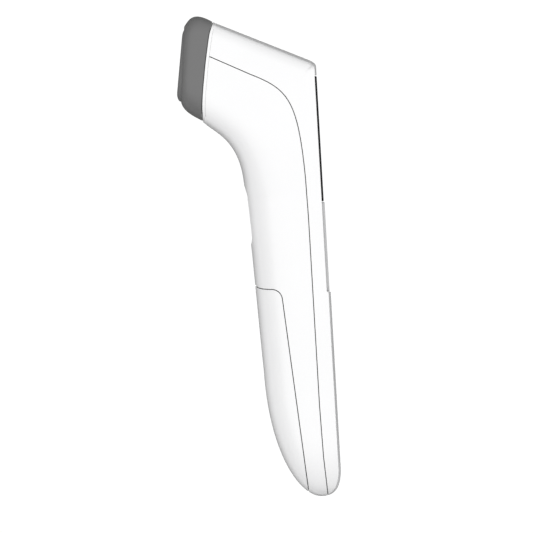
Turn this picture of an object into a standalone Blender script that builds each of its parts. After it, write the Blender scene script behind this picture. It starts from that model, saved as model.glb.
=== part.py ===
"""Hand-held infrared forehead thermometer, built as separate named pieces.

Every size below is in millimetres and make_object() turns it into metres. The handle runs
along Z, the nose looks towards -X, the display is on the +X side, and the mirror plane of
the housings is Y = 0. The origin is in the middle of the grip.
"""

import math

import bmesh
import bpy
import numpy as np
from mathutils import Matrix, Vector

METRE = 0.001  # one millimetre
GAP = 0.3  # clearance between two pieces that meet

# Overall sizes
GRIP_DROP = 57.0  # origin to the end of the tail
HEAD_RISE = 100.0  # origin to the top of the nose
BACK_X = 12.0  # plane of the back
NOSE_REACH = 45.2  # back to the front edge of the nose ring
GRIP_DEPTH = 26.0  # back to front under the chin
LOWER_DEPTH = 23.0  # back to front where the tail starts to curve
HEAD_WIDTH = 42.0
NOSE_WIDTH = 40.0
GRIP_WIDTH = 36.0
LOWER_WIDTH = 33.0
TAIL_CURVE = 41.0  # length of the curved front of the tail
TAIL_ROUND = 24.0  # length over which the tail closes in width
TOP_SLOPE = math.radians(24.8)  # the top falls towards the back
NOSE_TILT = math.radians(8.3)  # the sensor looks slightly up

# Shell
WALL = 1.8
BACK_WALL = 3.6  # behind the display and the keys
LOWER_BACK_WALL = 2.2
FRONT_ROUND = 14.0  # depth of the rounded front of the grip
TOP_FILLET = 4.0
BACK_FILLET = 0.4
BACK_CROWN = 0.7
PLATE_CROWN = 0.1  # of lens and control panel
LAND = 6.0  # half width of the flat middle of the back
COLLAR_SHOW = 0.9  # visible width of the collar
COLLAR_WALL = 1.1

# Back face: lens and control panel in one long recess
RIM_DROP = 1.15  # rim of the recess, below the back plane
PLATE_DROP = 0.35  # crest of the panel, below the back plane
LENS_DROP = 0.58  # crest of the lens
PLATE_THICK = 2.05
PLATE_MARGIN = 1.3  # white rim beside lens and panel
LENS_TOP = 21.3  # below the top of the nose
LENS_HEIGHT = 40.8
PANEL_HEIGHT = 29.1
PLATE_CORNER = 3.0
WINDOW_WIDTH = 26.0
WINDOW_HEIGHT = 31.0

# Keys on the back and the measuring button on the front
KEY_TRAVEL = 0.5
KEY_SINK = 0.1
MODE_KEY_R = 5.0
SMALL_KEY_R = 4.0
SMALL_KEY_Y = 7.5
BUTTON_HEIGHT = 18.3
BUTTON_WIDTH = 13.0
BUTTON_SINK = 0.5
BUTTON_TOP = 55.9  # below the top of the nose
BUTTON_TRAVEL = 0.8
BUTTON_FLANGE = 1.0

# Electronics
BOARD_THICK = 1.2
BOARD_WIDTH = 27.0
BOARD_DEPTH = 9.2  # back plane to the rear face of the board
LCD_THICK = 2.25
LCD_WIDTH = 25.0
LCD_HEIGHT = 33.0
FRAME_WALL = 1.0
SWITCH_SIDE = 6.0
SWITCH_THICK = 1.8
PLUNGER_R = 1.6
BUZZER_R = 6.5
BUZZER_THICK = 3.0

# Sensor, turned about the nose axis; depths are behind the face plate's front
FACE_HEIGHT = 24.0
FACE_WIDTH = 30.0
FACE_ROUND = 3.0
FACE_ROUND_DEPTH = 1.5
FACE_THICK = 3.4
HORN_MOUTH_R = 7.4
HORN_THROAT_R = 3.4
HORN_WALL = 0.8
HORN_TOP = 1.2
HORN_END = 11.5
CAN_R = 4.1
BARREL_R = 6.4
HOLDER_WALL = 1.2
POST_Y = 11.6
POST_R = 1.9
HOLDER_DEPTH = 20.0

# Two AAA cells
CELL_R = 5.25
CELL_LENGTH = 44.5
CELL_TIP_R = 1.9
CELL_TIP = 1.0
CONTACT = 0.4
SPRING = 2.7
SPRING_WIRE = 0.35
BAY_X = -3.0  # cells' axis plane at the top of the bay
BAY_WALL = 1.2
DOOR_TOP = 68.1  # above the end of the tail
DOOR_TILT = math.radians(4.55)
DOOR_CORNER = 3.5

# Self-tapping screws
SCREW_R = 1.0
SCREW_HEAD_R = 1.8
SCREW_HEAD = 1.1
SCREW_LENGTH = 4.6
BOSS_WALL = 1.1

# Places worked out from the sizes
TAIL_Z = -GRIP_DROP
NOSE_X = BACK_X - NOSE_REACH
CHIN_Z = HEAD_RISE - 54.5
TAIL_X = BACK_X - 6.4
SHELF_Z = HEAD_RISE - 15.8  # where the back meets the sloping top
CREST_Z = SHELF_Z - 1.4  # highest line of the back
FAN = Vector((NOSE_X + 2.2, HEAD_RISE - 60.0))  # section planes of the head meet here
LENS_HIGH = HEAD_RISE - LENS_TOP
LENS_LOW = LENS_HIGH - LENS_HEIGHT
PANEL_LOW = LENS_LOW - PANEL_HEIGHT
PLATE_X = BACK_X - PLATE_DROP
PLATE_BACK = PLATE_X - PLATE_THICK
BOARD_X = BACK_X - BOARD_DEPTH
BOARD_HIGH = LENS_HIGH - 0.7
BOARD_LOW = PANEL_LOW + 3.5
LCD_Z = (LENS_HIGH + LENS_LOW) / 2
LCD_FRONT = PLATE_BACK - 2.15
MODE_KEY_Z = PANEL_LOW + 21.0
SMALL_KEY_Z = PANEL_LOW + 8.0
BUTTON_Z = HEAD_RISE - BUTTON_TOP - BUTTON_HEIGHT / 2
BAY_LENGTH = CELL_LENGTH + SPRING + 2 * CONTACT + 5 * GAP
BAY_Z = TAIL_Z + DOOR_TOP - 3.0
CELL_Y = CELL_R + GAP
DOOR_Z = TAIL_Z + DOOR_TOP


# ---------------------------------------------------------------- outlines

def bezier(start, pull, push, end, steps):
    """Points of a cubic curve, its end left out."""
    points = []
    for t in np.arange(steps) / steps:
        s = 1 - t
        weights = (s**3, 3 * s * s * t, 3 * s * t * t, t**3)
        corners = (start, pull, push, end)
        points.append(tuple(sum(w * c[i] for w, c in zip(weights, corners)) for i in (0, 1)))
    return points


def front_outline():
    """Side view of the front, from the end of the tail up to the nose joint."""
    low = (BACK_X - LOWER_DEPTH, TAIL_Z + TAIL_CURVE)
    chin = (BACK_X - GRIP_DEPTH, CHIN_Z)
    joint = (NOSE_X + 6.7, HEAD_RISE - 33.7)
    tail_end = (TAIL_X, TAIL_Z)
    points = bezier(tail_end, (TAIL_X - 7.0, TAIL_Z), (low[0] + 0.4, low[1] - 27), low, 12)
    points += bezier(low, (low[0] - 1.0, low[1] + 20), (chin[0] + 1.4, chin[1] - 18), chin, 6)
    points += bezier(chin, (chin[0] - 1.0, chin[1] + 15), (joint[0] + 3.0, joint[1] - 4.0), joint, 12)
    return points + [joint]


def back_outline():
    """Side view of the back, from the end of the tail up to the nose joint."""
    heel = (BACK_X, TAIL_Z + 8.0)
    shelf = (BACK_X - LENS_DROP, SHELF_Z - 2.6)
    rise = math.tan(TOP_SLOPE)
    top = (BACK_X - 2.9, SHELF_Z + 0.4 - 1.6 * rise)
    joint_x = NOSE_X + 12.0
    points = bezier((TAIL_X, TAIL_Z), (TAIL_X + 4.4, TAIL_Z), (BACK_X - 0.4, heel[1] - 5.3), heel, 8)
    points += [heel, (BACK_X, PANEL_LOW - 0.2), (BACK_X - PLATE_DROP, PANEL_LOW), shelf]
    points += bezier(shelf, (shelf[0], SHELF_Z - 1.75), (top[0] + 1.3, top[1] - 1.3 * rise), top, 4)[1:]
    return points + [top, (joint_x, top[1] + (top[0] - joint_x) * rise)]


def at_height(points, z):
    """X of an outline at a height."""
    xs, zs = zip(*sorted(points, key=lambda p: p[1]))
    return float(np.interp(z, zs, xs))


def on_ray(points, angle):
    """Where a ray from FAN at this angle meets an outline."""
    ray = Vector((math.cos(angle), math.sin(angle)))
    for one, two in zip(points, points[1:]):
        one = Vector(one) - FAN
        two = Vector(two) - FAN
        before = ray.cross(one)
        after = ray.cross(two)
        if before <= 1e-9 and after > 1e-9 and one.dot(ray) > 0:
            return tuple(FAN + one.lerp(two, before / (before - after)))
    return points[-1]


def smooth(value, low, high):
    t = min(1.0, max(0.0, (value - low) / (high - low)))
    return t * t * (3 - 2 * t)


def half_width(z):
    """Half the width of the housings at a height on the handle."""
    width = LOWER_WIDTH + (GRIP_WIDTH - LOWER_WIDTH) * smooth(z, TAIL_Z + TAIL_ROUND, CHIN_Z - 15)
    width += (HEAD_WIDTH - GRIP_WIDTH) * smooth(z, CHIN_Z - 30, SHELF_Z - 4)
    closing = max(0.0, 1 - (z - TAIL_Z) / TAIL_ROUND)
    return width / 2 * (1 - closing**2.4) ** (1 / 2.4)


# ---------------------------------------------------------------- lofted body

def side_fillet(z):
    """Rounding of the sides where a section ends at this height: the top's rounding runs out on the back."""
    rise = min(max(z - (CREST_Z - TOP_FILLET), 0.0), TOP_FILLET)
    return max(BACK_FILLET, TOP_FILLET - math.sqrt(TOP_FILLET**2 - rise**2))


def body_stations():
    """Sections of the outer body from tail to nose: the two ends in the side view, the half
    width, and the depth, power and fillet of the rounding."""
    front = front_outline()
    back = back_outline()
    stations = []
    tail = [TAIL_Z + GRIP_DROP * 0.5 * t**2.2 for t in np.linspace(0.06, 1, 7)]
    grip = np.linspace(tail[-1], FAN.y, 6)[1:-1]
    steps = [PANEL_LOW - 0.2, PANEL_LOW]
    for z in sorted([*tail, *grip, *steps]):
        ends = ((at_height(front, z), z), (at_height(back, z), z))
        stations.append((*ends, half_width(z), FRONT_ROUND, 2.2, BACK_FILLET, BACK_CROWN))
    last = math.atan2(HEAD_RISE - 2.0 - FAN.y, NOSE_X + 11.9 - FAN.x)
    corner = [math.atan2(z - FAN.y, x - FAN.x) for x, z in back[-6:-1]]
    for angle in sorted([*np.linspace(0, last, 10), *corner]):
        share = angle / last
        fillet = side_fillet(on_ray(back, angle)[1])
        width = half_width(on_ray(back, min(angle, corner[0]))[1])
        width += (NOSE_WIDTH / 2 - width) * smooth(angle, corner[0], last)
        ends = (on_ray(front, angle), on_ray(back, angle))
        stations.append((*ends, width, FRONT_ROUND - 2 * share, 2.2 + 1.1 * share, fillet, BACK_CROWN))
    return stations


def nose_stations():
    """Sections of the nose ring in front of the joint: it rounds in towards the face plate."""
    stations = []
    low = (NOSE_X + 6.7, HEAD_RISE - 33.7)
    lows = bezier(low, (NOSE_X + 3.0, HEAD_RISE - 31.6), (NOSE_X + 0.8, HEAD_RISE - 30.0),
                  (NOSE_X + 0.4, HEAD_RISE - 27.2), 6)
    high = (NOSE_X + 11.9, HEAD_RISE - 2.0)
    highs = bezier(high, (NOSE_X + 6.4, HEAD_RISE + 1.4), (NOSE_X + 4.8, HEAD_RISE - 0.2),
                   (NOSE_X + 2.8, HEAD_RISE - 3.2), 6)
    lows.append((NOSE_X + 0.4, HEAD_RISE - 27.2))
    highs.append((NOSE_X + 2.8, HEAD_RISE - 3.2))
    for step, (f, b) in enumerate(zip(lows, highs)):
        t = step / 6
        narrow = (NOSE_WIDTH - FACE_WIDTH) / 2 * (1 - math.sqrt(1 - (t * t) ** 1.2 * 0.999))
        stations.append((f, b, NOSE_WIDTH / 2 - narrow, 12.0 - 2 * t, 3.3, TOP_FILLET + 1.5 * t, BACK_CROWN))
    return stations[1:]


def section(station, inset, back_inset, shift):
    """One ring of the body: rounded front, flat sides, filleted and crowned back."""
    front, back, width, depth, power, fillet, crown = station
    front = Vector((front[0] + shift, 0, front[1]))
    back = Vector((back[0] + shift, 0, back[1]))
    along = (back - front).normalized()
    front = front + along * min(inset, (back - front).length * 0.3)
    back = back - along * min(back_inset, (back - front).length * 0.3)
    length = (back - front).length
    width = max(width - inset, 0.3 * width)
    depth = min(depth - inset, 0.6 * length)
    fillet = min(max(fillet - inset, 0.3), 0.3 * width, 0.25 * length)
    crown = min(crown, 0.1 * length)
    land = min(LAND, 0.4 * width)
    half = []
    for theta in np.linspace(0, math.pi / 2, 8):
        u = depth * (1 - abs(math.cos(theta)) ** (2 / power))
        half.append((u, width * abs(math.sin(theta)) ** (2 / power)))
    for theta in np.linspace(0, math.pi / 2, 3):
        u = length - crown - fillet + fillet * math.sin(theta)
        half.append((u, width - fillet + fillet * math.cos(theta)))
    for y in ((width - fillet + land) / 2, land):
        over = max(0.0, y - land) / (width - fillet - land)
        half.append((length - crown * over * over, y))
    whole = half + [(u, -y) for u, y in half[:0:-1]]
    return [front + along * u + Vector((0, y, 0)) for u, y in whole]


def loft(stations, inset=0.0, back_inset=None, lower_back_inset=None):
    """Closed mesh through the stations, offset inwards."""
    mesh = bmesh.new()
    rings = []
    for index, station in enumerate(stations):
        thick = inset if back_inset is None else back_inset
        from_back = inset + (thick - inset) * smooth(station[1][0], BACK_X - 12, BACK_X - 4)
        on_handle = station[0][1] == station[1][1]
        if lower_back_inset is not None and on_handle and station[1][1] < PANEL_LOW - GAP:
            from_back = lower_back_inset
        ahead = index - (len(stations) - 7)
        shift = inset * max(0.0, ahead / 6)
        if index == 0 and inset:
            continue
        rings.append([mesh.verts.new(p) for p in section(station, inset, from_back, shift)])
    for one, two in zip(rings, rings[1:]):
        for i in range(len(one)):
            j = (i + 1) % len(one)
            mesh.faces.new((one[i], one[j], two[j], two[i]))
    mesh.faces.new(list(reversed(rings[0])))
    mesh.faces.new(rings[-1])
    return mesh


# ---------------------------------------------------------------- tools

def material(name, colour, roughness, metallic=0.0):
    made = bpy.data.materials.new(name)
    made.use_nodes = True
    shader = made.node_tree.nodes["Principled BSDF"]
    shader.inputs["Base Color"].default_value = (*colour, 1)
    shader.inputs["Roughness"].default_value = roughness
    shader.inputs["Metallic"].default_value = metallic
    made.diffuse_color = (*colour, 1)
    return made


def make_object(name, mesh, look=None, parent=None, at=(0, 0, 0)):
    """Object from a bmesh in millimetres; its origin is at a place in its parent's frame."""
    bmesh.ops.translate(mesh, verts=mesh.verts, vec=-Vector(at))
    bmesh.ops.scale(mesh, verts=mesh.verts, vec=(METRE,) * 3)
    bmesh.ops.recalc_face_normals(mesh, faces=mesh.faces)
    data = bpy.data.meshes.new(name)
    mesh.to_mesh(data)
    mesh.free()
    return place(name, data, look, parent, at)


def place(name, data, look=None, parent=None, at=(0, 0, 0)):
    made = bpy.data.objects.new(name, data)
    bpy.context.scene.collection.objects.link(made)
    made.parent = parent
    made.location = Vector(at) * METRE
    if look is None:
        made.hide_render = True
        made.display_type = "WIRE"
    elif look.name not in data.materials:
        data.materials.append(look)
        data.shade_smooth()
        data.set_sharp_from_angle(angle=math.radians(30))
    return made


def boolean(made, operation, *others, solver="EXACT"):
    for other in others:
        step = made.modifiers.new(f"{operation.lower()}_{other.name}", "BOOLEAN")
        step.operation = operation
        step.solver = solver
        step.object = other
    return made


def box(low, high):
    mesh = bmesh.new()
    bmesh.ops.create_cube(mesh, size=1)
    low, high = Vector(low), Vector(high)
    bmesh.ops.scale(mesh, verts=mesh.verts, vec=high - low)
    bmesh.ops.translate(mesh, verts=mesh.verts, vec=(low + high) / 2)
    return mesh


def prism(outline, low, high, axis="Y"):
    """Outline extruded along an axis: (x, z) along Y, or (y, z) along X."""
    mesh = bmesh.new()
    if axis == "Y":
        verts = [mesh.verts.new((a, low, b)) for a, b in outline]
        step = (0, high - low, 0)
    else:
        verts = [mesh.verts.new((low, a, b)) for a, b in outline]
        step = (high - low, 0, 0)
    face = mesh.faces.new(verts)
    raised = bmesh.ops.extrude_face_region(mesh, geom=[face])["geom"]
    bmesh.ops.translate(mesh, verts=[v for v in raised if isinstance(v, bmesh.types.BMVert)], vec=step)
    return mesh


def turned(profile, axis="Z", steps=24, at=(0, 0, 0)):
    """Closed (radius, height) profile spun about an axis through a point."""
    mesh = bmesh.new()
    verts = [mesh.verts.new((r, 0, h)) for r, h in profile]
    edges = [mesh.edges.new((a, b)) for a, b in zip(verts, verts[1:] + verts[:1])]
    bmesh.ops.spin(mesh, geom=verts + edges, axis=(0, 0, 1), cent=(0, 0, 0), steps=steps,
                   angle=2 * math.pi, use_merge=True)
    bmesh.ops.remove_doubles(mesh, verts=mesh.verts, dist=1e-5)
    bmesh.ops.delete(mesh, geom=[e for e in mesh.edges if not e.link_faces], context="EDGES")
    turn = Matrix.Rotation(math.pi / 2, 4, "Y") if axis == "X" else Matrix.Identity(4)
    bmesh.ops.transform(mesh, matrix=Matrix.Translation(at) @ turn, verts=mesh.verts)
    return mesh


def rod(radius, low, high, axis="X", at=(0, 0, 0), steps=20):
    return turned([(0, low), (radius, low), (radius, high), (0, high)], axis, steps, at)


def offset(points, distance):
    """Polyline moved to its left."""
    moved = []
    for i, point in enumerate(points):
        before = Vector(points[max(i - 1, 0)])
        after = Vector(points[min(i + 1, len(points) - 1)])
        along = (after - before).normalized()
        moved.append((point[0] - along.y * distance, point[1] + along.x * distance))
    return moved


def crossing(one, two):
    """Where two polylines cross: the point, and the rest of each from there on."""
    for i, (a, b) in enumerate(zip(one, one[1:])):
        for j, (c, d) in enumerate(zip(two, two[1:])):
            across = Vector(b) - Vector(a)
            along = Vector(d) - Vector(c)
            slant = across.cross(along)
            if abs(slant) < 1e-9:
                continue
            s = (Vector(c) - Vector(a)).cross(along) / slant
            t = (Vector(c) - Vector(a)).cross(across) / slant
            if 0 <= s <= 1 and 0 <= t <= 1:
                point = Vector(a).lerp(Vector(b), s)
                return tuple(point), one[:i + 1], one[i + 1:], two[j + 1:]
    raise ValueError("the seam misses the collar")


def strip(points, thick):
    """Outline of a band of even thickness along a polyline."""
    return offset(points, thick / 2) + list(reversed(offset(points, -thick / 2)))


def pill(width, height, radius, centre_z, steps=6):
    """Rounded rectangle in (y, z)."""
    outline = []
    for quarter, (sy, sz) in enumerate(((1, 1), (-1, 1), (-1, -1), (1, -1))):
        for angle in np.linspace(quarter, quarter + 1, steps + 1) * math.pi / 2:
            z = sz * (height / 2 - radius) + radius * math.sin(angle)
            outline.append((sy * (width / 2 - radius) + radius * math.cos(angle), centre_z + z))
    return outline


def back_plate(low, high, margin, corner):
    """Outline in (y, z) that follows the sides of the housing at a margin."""
    half = []
    for angle in np.linspace(0, math.pi / 2, 5):
        half.append((corner * (1 - math.sin(angle)), low + corner * (1 - math.cos(angle))))
    half += [(0, z) for z in np.linspace(low + corner, high - corner, 6)[1:-1]]
    for angle in np.linspace(0, math.pi / 2, 5):
        half.append((corner * (1 - math.cos(angle)), high - corner * (1 - math.sin(angle))))
    right = [(half_width(z) - margin - inward, z) for inward, z in half]
    return right + [(-y, z) for y, z in reversed(right)]


def superellipse(half_x, half_y, power=3.0, steps=40):
    points = []
    for angle in np.arange(steps) / steps * 2 * math.pi:
        c, s = math.cos(angle), math.sin(angle)
        points.append((half_x * math.copysign(abs(c) ** (2 / power), c),
                       half_y * math.copysign(abs(s) ** (2 / power), s)))
    return points


def wire(name, points, radius, look, parent=None, sides=2):
    curve = bpy.data.curves.new(name, "CURVE")
    curve.dimensions = "3D"
    curve.bevel_depth = radius * METRE
    curve.bevel_resolution = sides
    curve.use_fill_caps = True
    spline = curve.splines.new("POLY")
    spline.points.add(len(points) - 1)
    for knot, point in zip(spline.points, points):
        knot.co = (*(Vector(point) * METRE), 1)
    curve.materials.append(look)
    made = bpy.data.objects.new(name, curve)
    bpy.context.scene.collection.objects.link(made)
    made.parent = parent
    return made


def through(knots, per_span=5):
    """Smooth curve read through chosen points (Catmull-Rom)."""
    knots = [Vector(k) for k in knots]
    ends = [2 * knots[0] - knots[1], *knots, 2 * knots[-1] - knots[-2]]
    points = []
    for a, b, c, d in zip(ends, ends[1:], ends[2:], ends[3:]):
        for t in np.arange(per_span) / per_span:
            points.append(0.5 * (2 * b + (c - a) * t + (2 * a - 5 * b + 4 * c - d) * t * t
                                 + (3 * b - a - 3 * c + d) * t**3))
    return points + [knots[-1]]


def in_frame(mesh, frame):
    """Mesh given in the object's own frame, turned into an empty's frame."""
    matrix = Matrix.Translation(frame.location / METRE) @ Matrix.Rotation(frame.rotation_euler.y, 4, "Y")
    bmesh.ops.transform(mesh, matrix=matrix.inverted(), verts=mesh.verts)
    return mesh


def frame_at(name, at, tilt):
    """Empty whose Z axis is turned about Y."""
    made = bpy.data.objects.new(name, None)
    bpy.context.scene.collection.objects.link(made)
    made.location = Vector(at) * METRE
    made.rotation_euler = (0, tilt, 0)
    return made


# ---------------------------------------------------------------- seams in the side view

def joint_line(shift):
    """Front edge of the collar, from below the chin to above the head."""
    foot = (NOSE_X + 7.15, HEAD_RISE - 33.1)
    steps = [(0.3, -12.0), (0, 0), (0.05, 4.0), (0.55, 8.7), (1.85, 17.4), (2.9, 23.1), (3.45, 26.0), (3.9, 27.9),
             (4.25, 28.9), (4.8, 29.8), (5.1, 30.8), (7.0, 36.0)]
    points = [(foot[0] + x, foot[1] + z) for x, z in steps]
    return [(x + shift, z) for x, z in points]


def shell_seam():
    """Parting line between the housings, from the collar down to the tail."""
    start = (NOSE_X + 6.0, HEAD_RISE - 11.0)
    bend = (NOSE_X + 23.2, HEAD_RISE - 19.7)
    side = (BACK_X - 6.05, CHIN_Z + 0.5)
    end = (BACK_X - 4.4, TAIL_Z - 3.0)
    points = [start] + bezier(bend, (bend[0] + 12.1, bend[1] - 5.5), (side[0] - 1.1, side[1] + 25.2), side, 12)
    return points + [side, (BACK_X - 5.8, CHIN_Z - 13), (BACK_X - 5.7, TAIL_Z + 29), (BACK_X - 5.35, TAIL_Z + 12.7), end]


def door_seam(shift=0.0):
    """Edge of the battery door, from outside the grip, round its corner, down to the tail."""
    along = Vector((math.sin(DOOR_TILT), -math.cos(DOOR_TILT)))
    across = Vector((math.cos(DOOR_TILT), math.sin(DOOR_TILT)))
    corner = Vector((BACK_X - 16.0, DOOR_Z - 0.3))
    inner = corner - across * DOOR_CORNER + along * DOOR_CORNER
    points = [corner - across * 25 + Vector((0, 2.2)), corner - across * (DOOR_CORNER + 4) + Vector((0, 0.3))]
    for angle in np.linspace(0, math.pi / 2, 6):
        points.append(inner - along * DOOR_CORNER * math.cos(angle) + across * DOOR_CORNER * math.sin(angle))
    points.append(corner + along * (GRIP_DROP + 25))
    return offset([tuple(p) for p in points], shift)


# ---------------------------------------------------------------- housings

def forms():
    """Solid body, its cavity and the regions that the two seams divide it into."""
    whole = body_stations() + nose_stations()
    cavity = make_object("cavity_form", loft(whole, WALL, BACK_WALL, LOWER_BACK_WALL))
    collar_back = joint_line(COLLAR_SHOW + GAP)
    point, _, above, seam = crossing(collar_back, offset(shell_seam(), GAP / 2))
    around = [(BACK_X + 40, TAIL_Z - 20), (BACK_X + 40, HEAD_RISE + 20)]
    rear_region = make_object("rear_region", prism(list(reversed(above)) + [point] + seam + around, -60, 60))
    point, below, _, seam = crossing(collar_back, offset(shell_seam(), -GAP / 2))
    around = [(NOSE_X - 60, seam[-1][1]), (NOSE_X - 60, below[0][1])]
    front_region = make_object("front_region", prism(below + [point] + seam + around, -59, 59))
    outside = [(-60 + NOSE_X, TAIL_Z - 30), (-60 + NOSE_X, DOOR_Z + 6)]
    door_hole = make_object("door_hole", prism(door_seam(GAP / 2) + outside, -59, 59))
    door_region = make_object("door_region", prism(door_seam(-GAP / 2) + outside, -58, 58))
    return cavity, rear_region, front_region, door_hole, door_region


def make_housings(looks):
    cavity, rear_region, front_region, door_hole, door_region = forms()
    whole = body_stations() + nose_stations()

    # Rear housing: recess, plate pockets, window, key holes and screw bosses
    recess = make_object("recess_cutter", box((BACK_X - RIM_DROP, -60, PANEL_LOW), (BACK_X + 9, 60, LENS_HIGH)))
    pocket_outline = back_plate(PANEL_LOW + GAP, LENS_HIGH, PLATE_MARGIN - GAP, PLATE_CORNER)
    pocket = make_object("pocket_cutter", prism(pocket_outline, PLATE_BACK - GAP, BACK_X + 9, "X"))
    window = make_object("window_cutter", prism(
        pill(WINDOW_WIDTH, WINDOW_HEIGHT, 2, LCD_Z, 3), PLATE_BACK - 5, BACK_X, "X"))
    keys = [(0, MODE_KEY_Z, MODE_KEY_R), (-SMALL_KEY_Y, SMALL_KEY_Z, SMALL_KEY_R),
            (SMALL_KEY_Y, SMALL_KEY_Z, SMALL_KEY_R)]
    holes = [make_object(f"key_hole_{i}", rod(r + GAP, PLATE_BACK - 5, BACK_X + 5, "X", (0, y, z)))
             for i, (y, z, r) in enumerate(keys)]
    rear = make_object("rear_housing", loft(whole), looks["white"])
    boolean(rear, "DIFFERENCE", cavity)
    boolean(rear, "INTERSECT", rear_region)
    bores = []
    for name, y, z in board_screw_places():
        post = make_object(f"board_post_{name}", rod(
            SCREW_R + GAP + BOSS_WALL, BOARD_X + GAP, BACK_X - BACK_WALL + 0.6, "X", (0, y, z)))
        boolean(rear, "UNION", post)
        bores.append(make_object(f"board_post_hole_{name}", rod(
            SCREW_R + GAP, BOARD_X - 2, BOARD_X + SCREW_LENGTH - BOARD_THICK + GAP, "X", (0, y, z))))

    # Front housing: battery bay, screw seats and the opening for the measuring button
    bay = frame_at("battery_bay", (BAY_X, 0, BAY_Z), -DOOR_TILT)
    floor = CELL_R + GAP  # the cells' axis plane to the floor
    side = CELL_Y + CELL_R + GAP
    tray = make_object("bay_form", box((2.0, -side - BAY_WALL, -BAY_LENGTH - BAY_WALL),
                                       (floor + BAY_WALL, side + BAY_WALL, BAY_WALL)), None, bay)
    reach = CELL_Y + 3.5
    for i, (low, high) in enumerate(((0.0, BAY_WALL), (-BAY_LENGTH - BAY_WALL, -BAY_LENGTH))):
        wall = make_object(f"bay_end_{i}", box((-3.5, -reach, low), (2.5, reach, high)), None, bay)
        wing = make_object(f"bay_wing_{i}", box((2.6, -40, low - 0.4), (4.2, 40, high + 0.4)), None, bay)
        boolean(tray, "UNION", wall, wing)
    space = make_object("bay_space", box((-30, -side, -BAY_LENGTH), (floor, side, 0)), None, bay)
    core = make_object("core_form", loft(whole, WALL / 2))
    boolean(tray, "DIFFERENCE", space)
    boolean(tray, "INTERSECT", core)
    front = make_object("front_housing", loft(whole), looks["white"])
    boolean(front, "DIFFERENCE", cavity)
    boolean(front, "INTERSECT", front_region)
    boolean(front, "DIFFERENCE", door_hole)
    boolean(front, "UNION", tray)
    opening = make_object("button_opening", prism(
        pill(BUTTON_WIDTH + 2 * GAP, BUTTON_HEIGHT + 2 * GAP, 5, BUTTON_Z), NOSE_X - 10, -4, "X"))
    boolean(front, "DIFFERENCE", opening)
    for name, depth in housing_screw_places():
        hole = make_object(f"seat_hole_{name}", rod(SCREW_R + GAP, 0, floor + 4, "X", (0, 0, depth)), None, bay)
        boolean(front, "DIFFERENCE", hole)
        post = make_object(f"housing_post_{name}", rod(
            SCREW_R + GAP + BOSS_WALL, floor + BAY_WALL + GAP, floor + 20, "X", (0, 0, depth)), None, bay)
        bore = make_object(f"housing_bore_{name}", rod(
            SCREW_R + GAP, floor, floor - GAP + SCREW_LENGTH + GAP, "X", (0, 0, depth)), None, bay)
        boolean(post, "INTERSECT", core)
        boolean(rear, "UNION", post)
        bores.append(bore)
    boolean(rear, "DIFFERENCE", recess, pocket, window, *holes)
    boolean(rear, "DIFFERENCE", *bores, solver="MANIFOLD")

    # Battery door: shell with a tongue that tucks under the front housing
    slide = frame_at("door_slide", (BAY_X, 0, BAY_Z), -DOOR_TILT)
    door = make_object("battery_door", in_frame(loft(whole), slide), looks["white"], slide)
    tongue_x = at_height(front_outline(), DOOR_Z) + WALL + 0.8
    tongue = make_object("tongue_form", box((tongue_x, -5, DOOR_Z - 4), (tongue_x + 1, 5, DOOR_Z + 2.5)))
    root = make_object("tongue_root", box((tongue_x - 1.8, -5, DOOR_Z - 4), (tongue_x + 1, 5, DOOR_Z - 1.5)))
    boolean(tongue, "UNION", root)
    boolean(door, "DIFFERENCE", cavity)
    boolean(door, "INTERSECT", door_region)
    boolean(door, "UNION", tongue)
    return bay


def board_screw_places():
    z = LENS_LOW - 2.9
    return [("left", BOARD_WIDTH / 2 - 3.0, z), ("right", 3.0 - BOARD_WIDTH / 2, z)]


def housing_screw_places():
    return [("upper", -9.0), ("lower", 10.0 - BAY_LENGTH)]


# ---------------------------------------------------------------- nose and sensor

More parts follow.
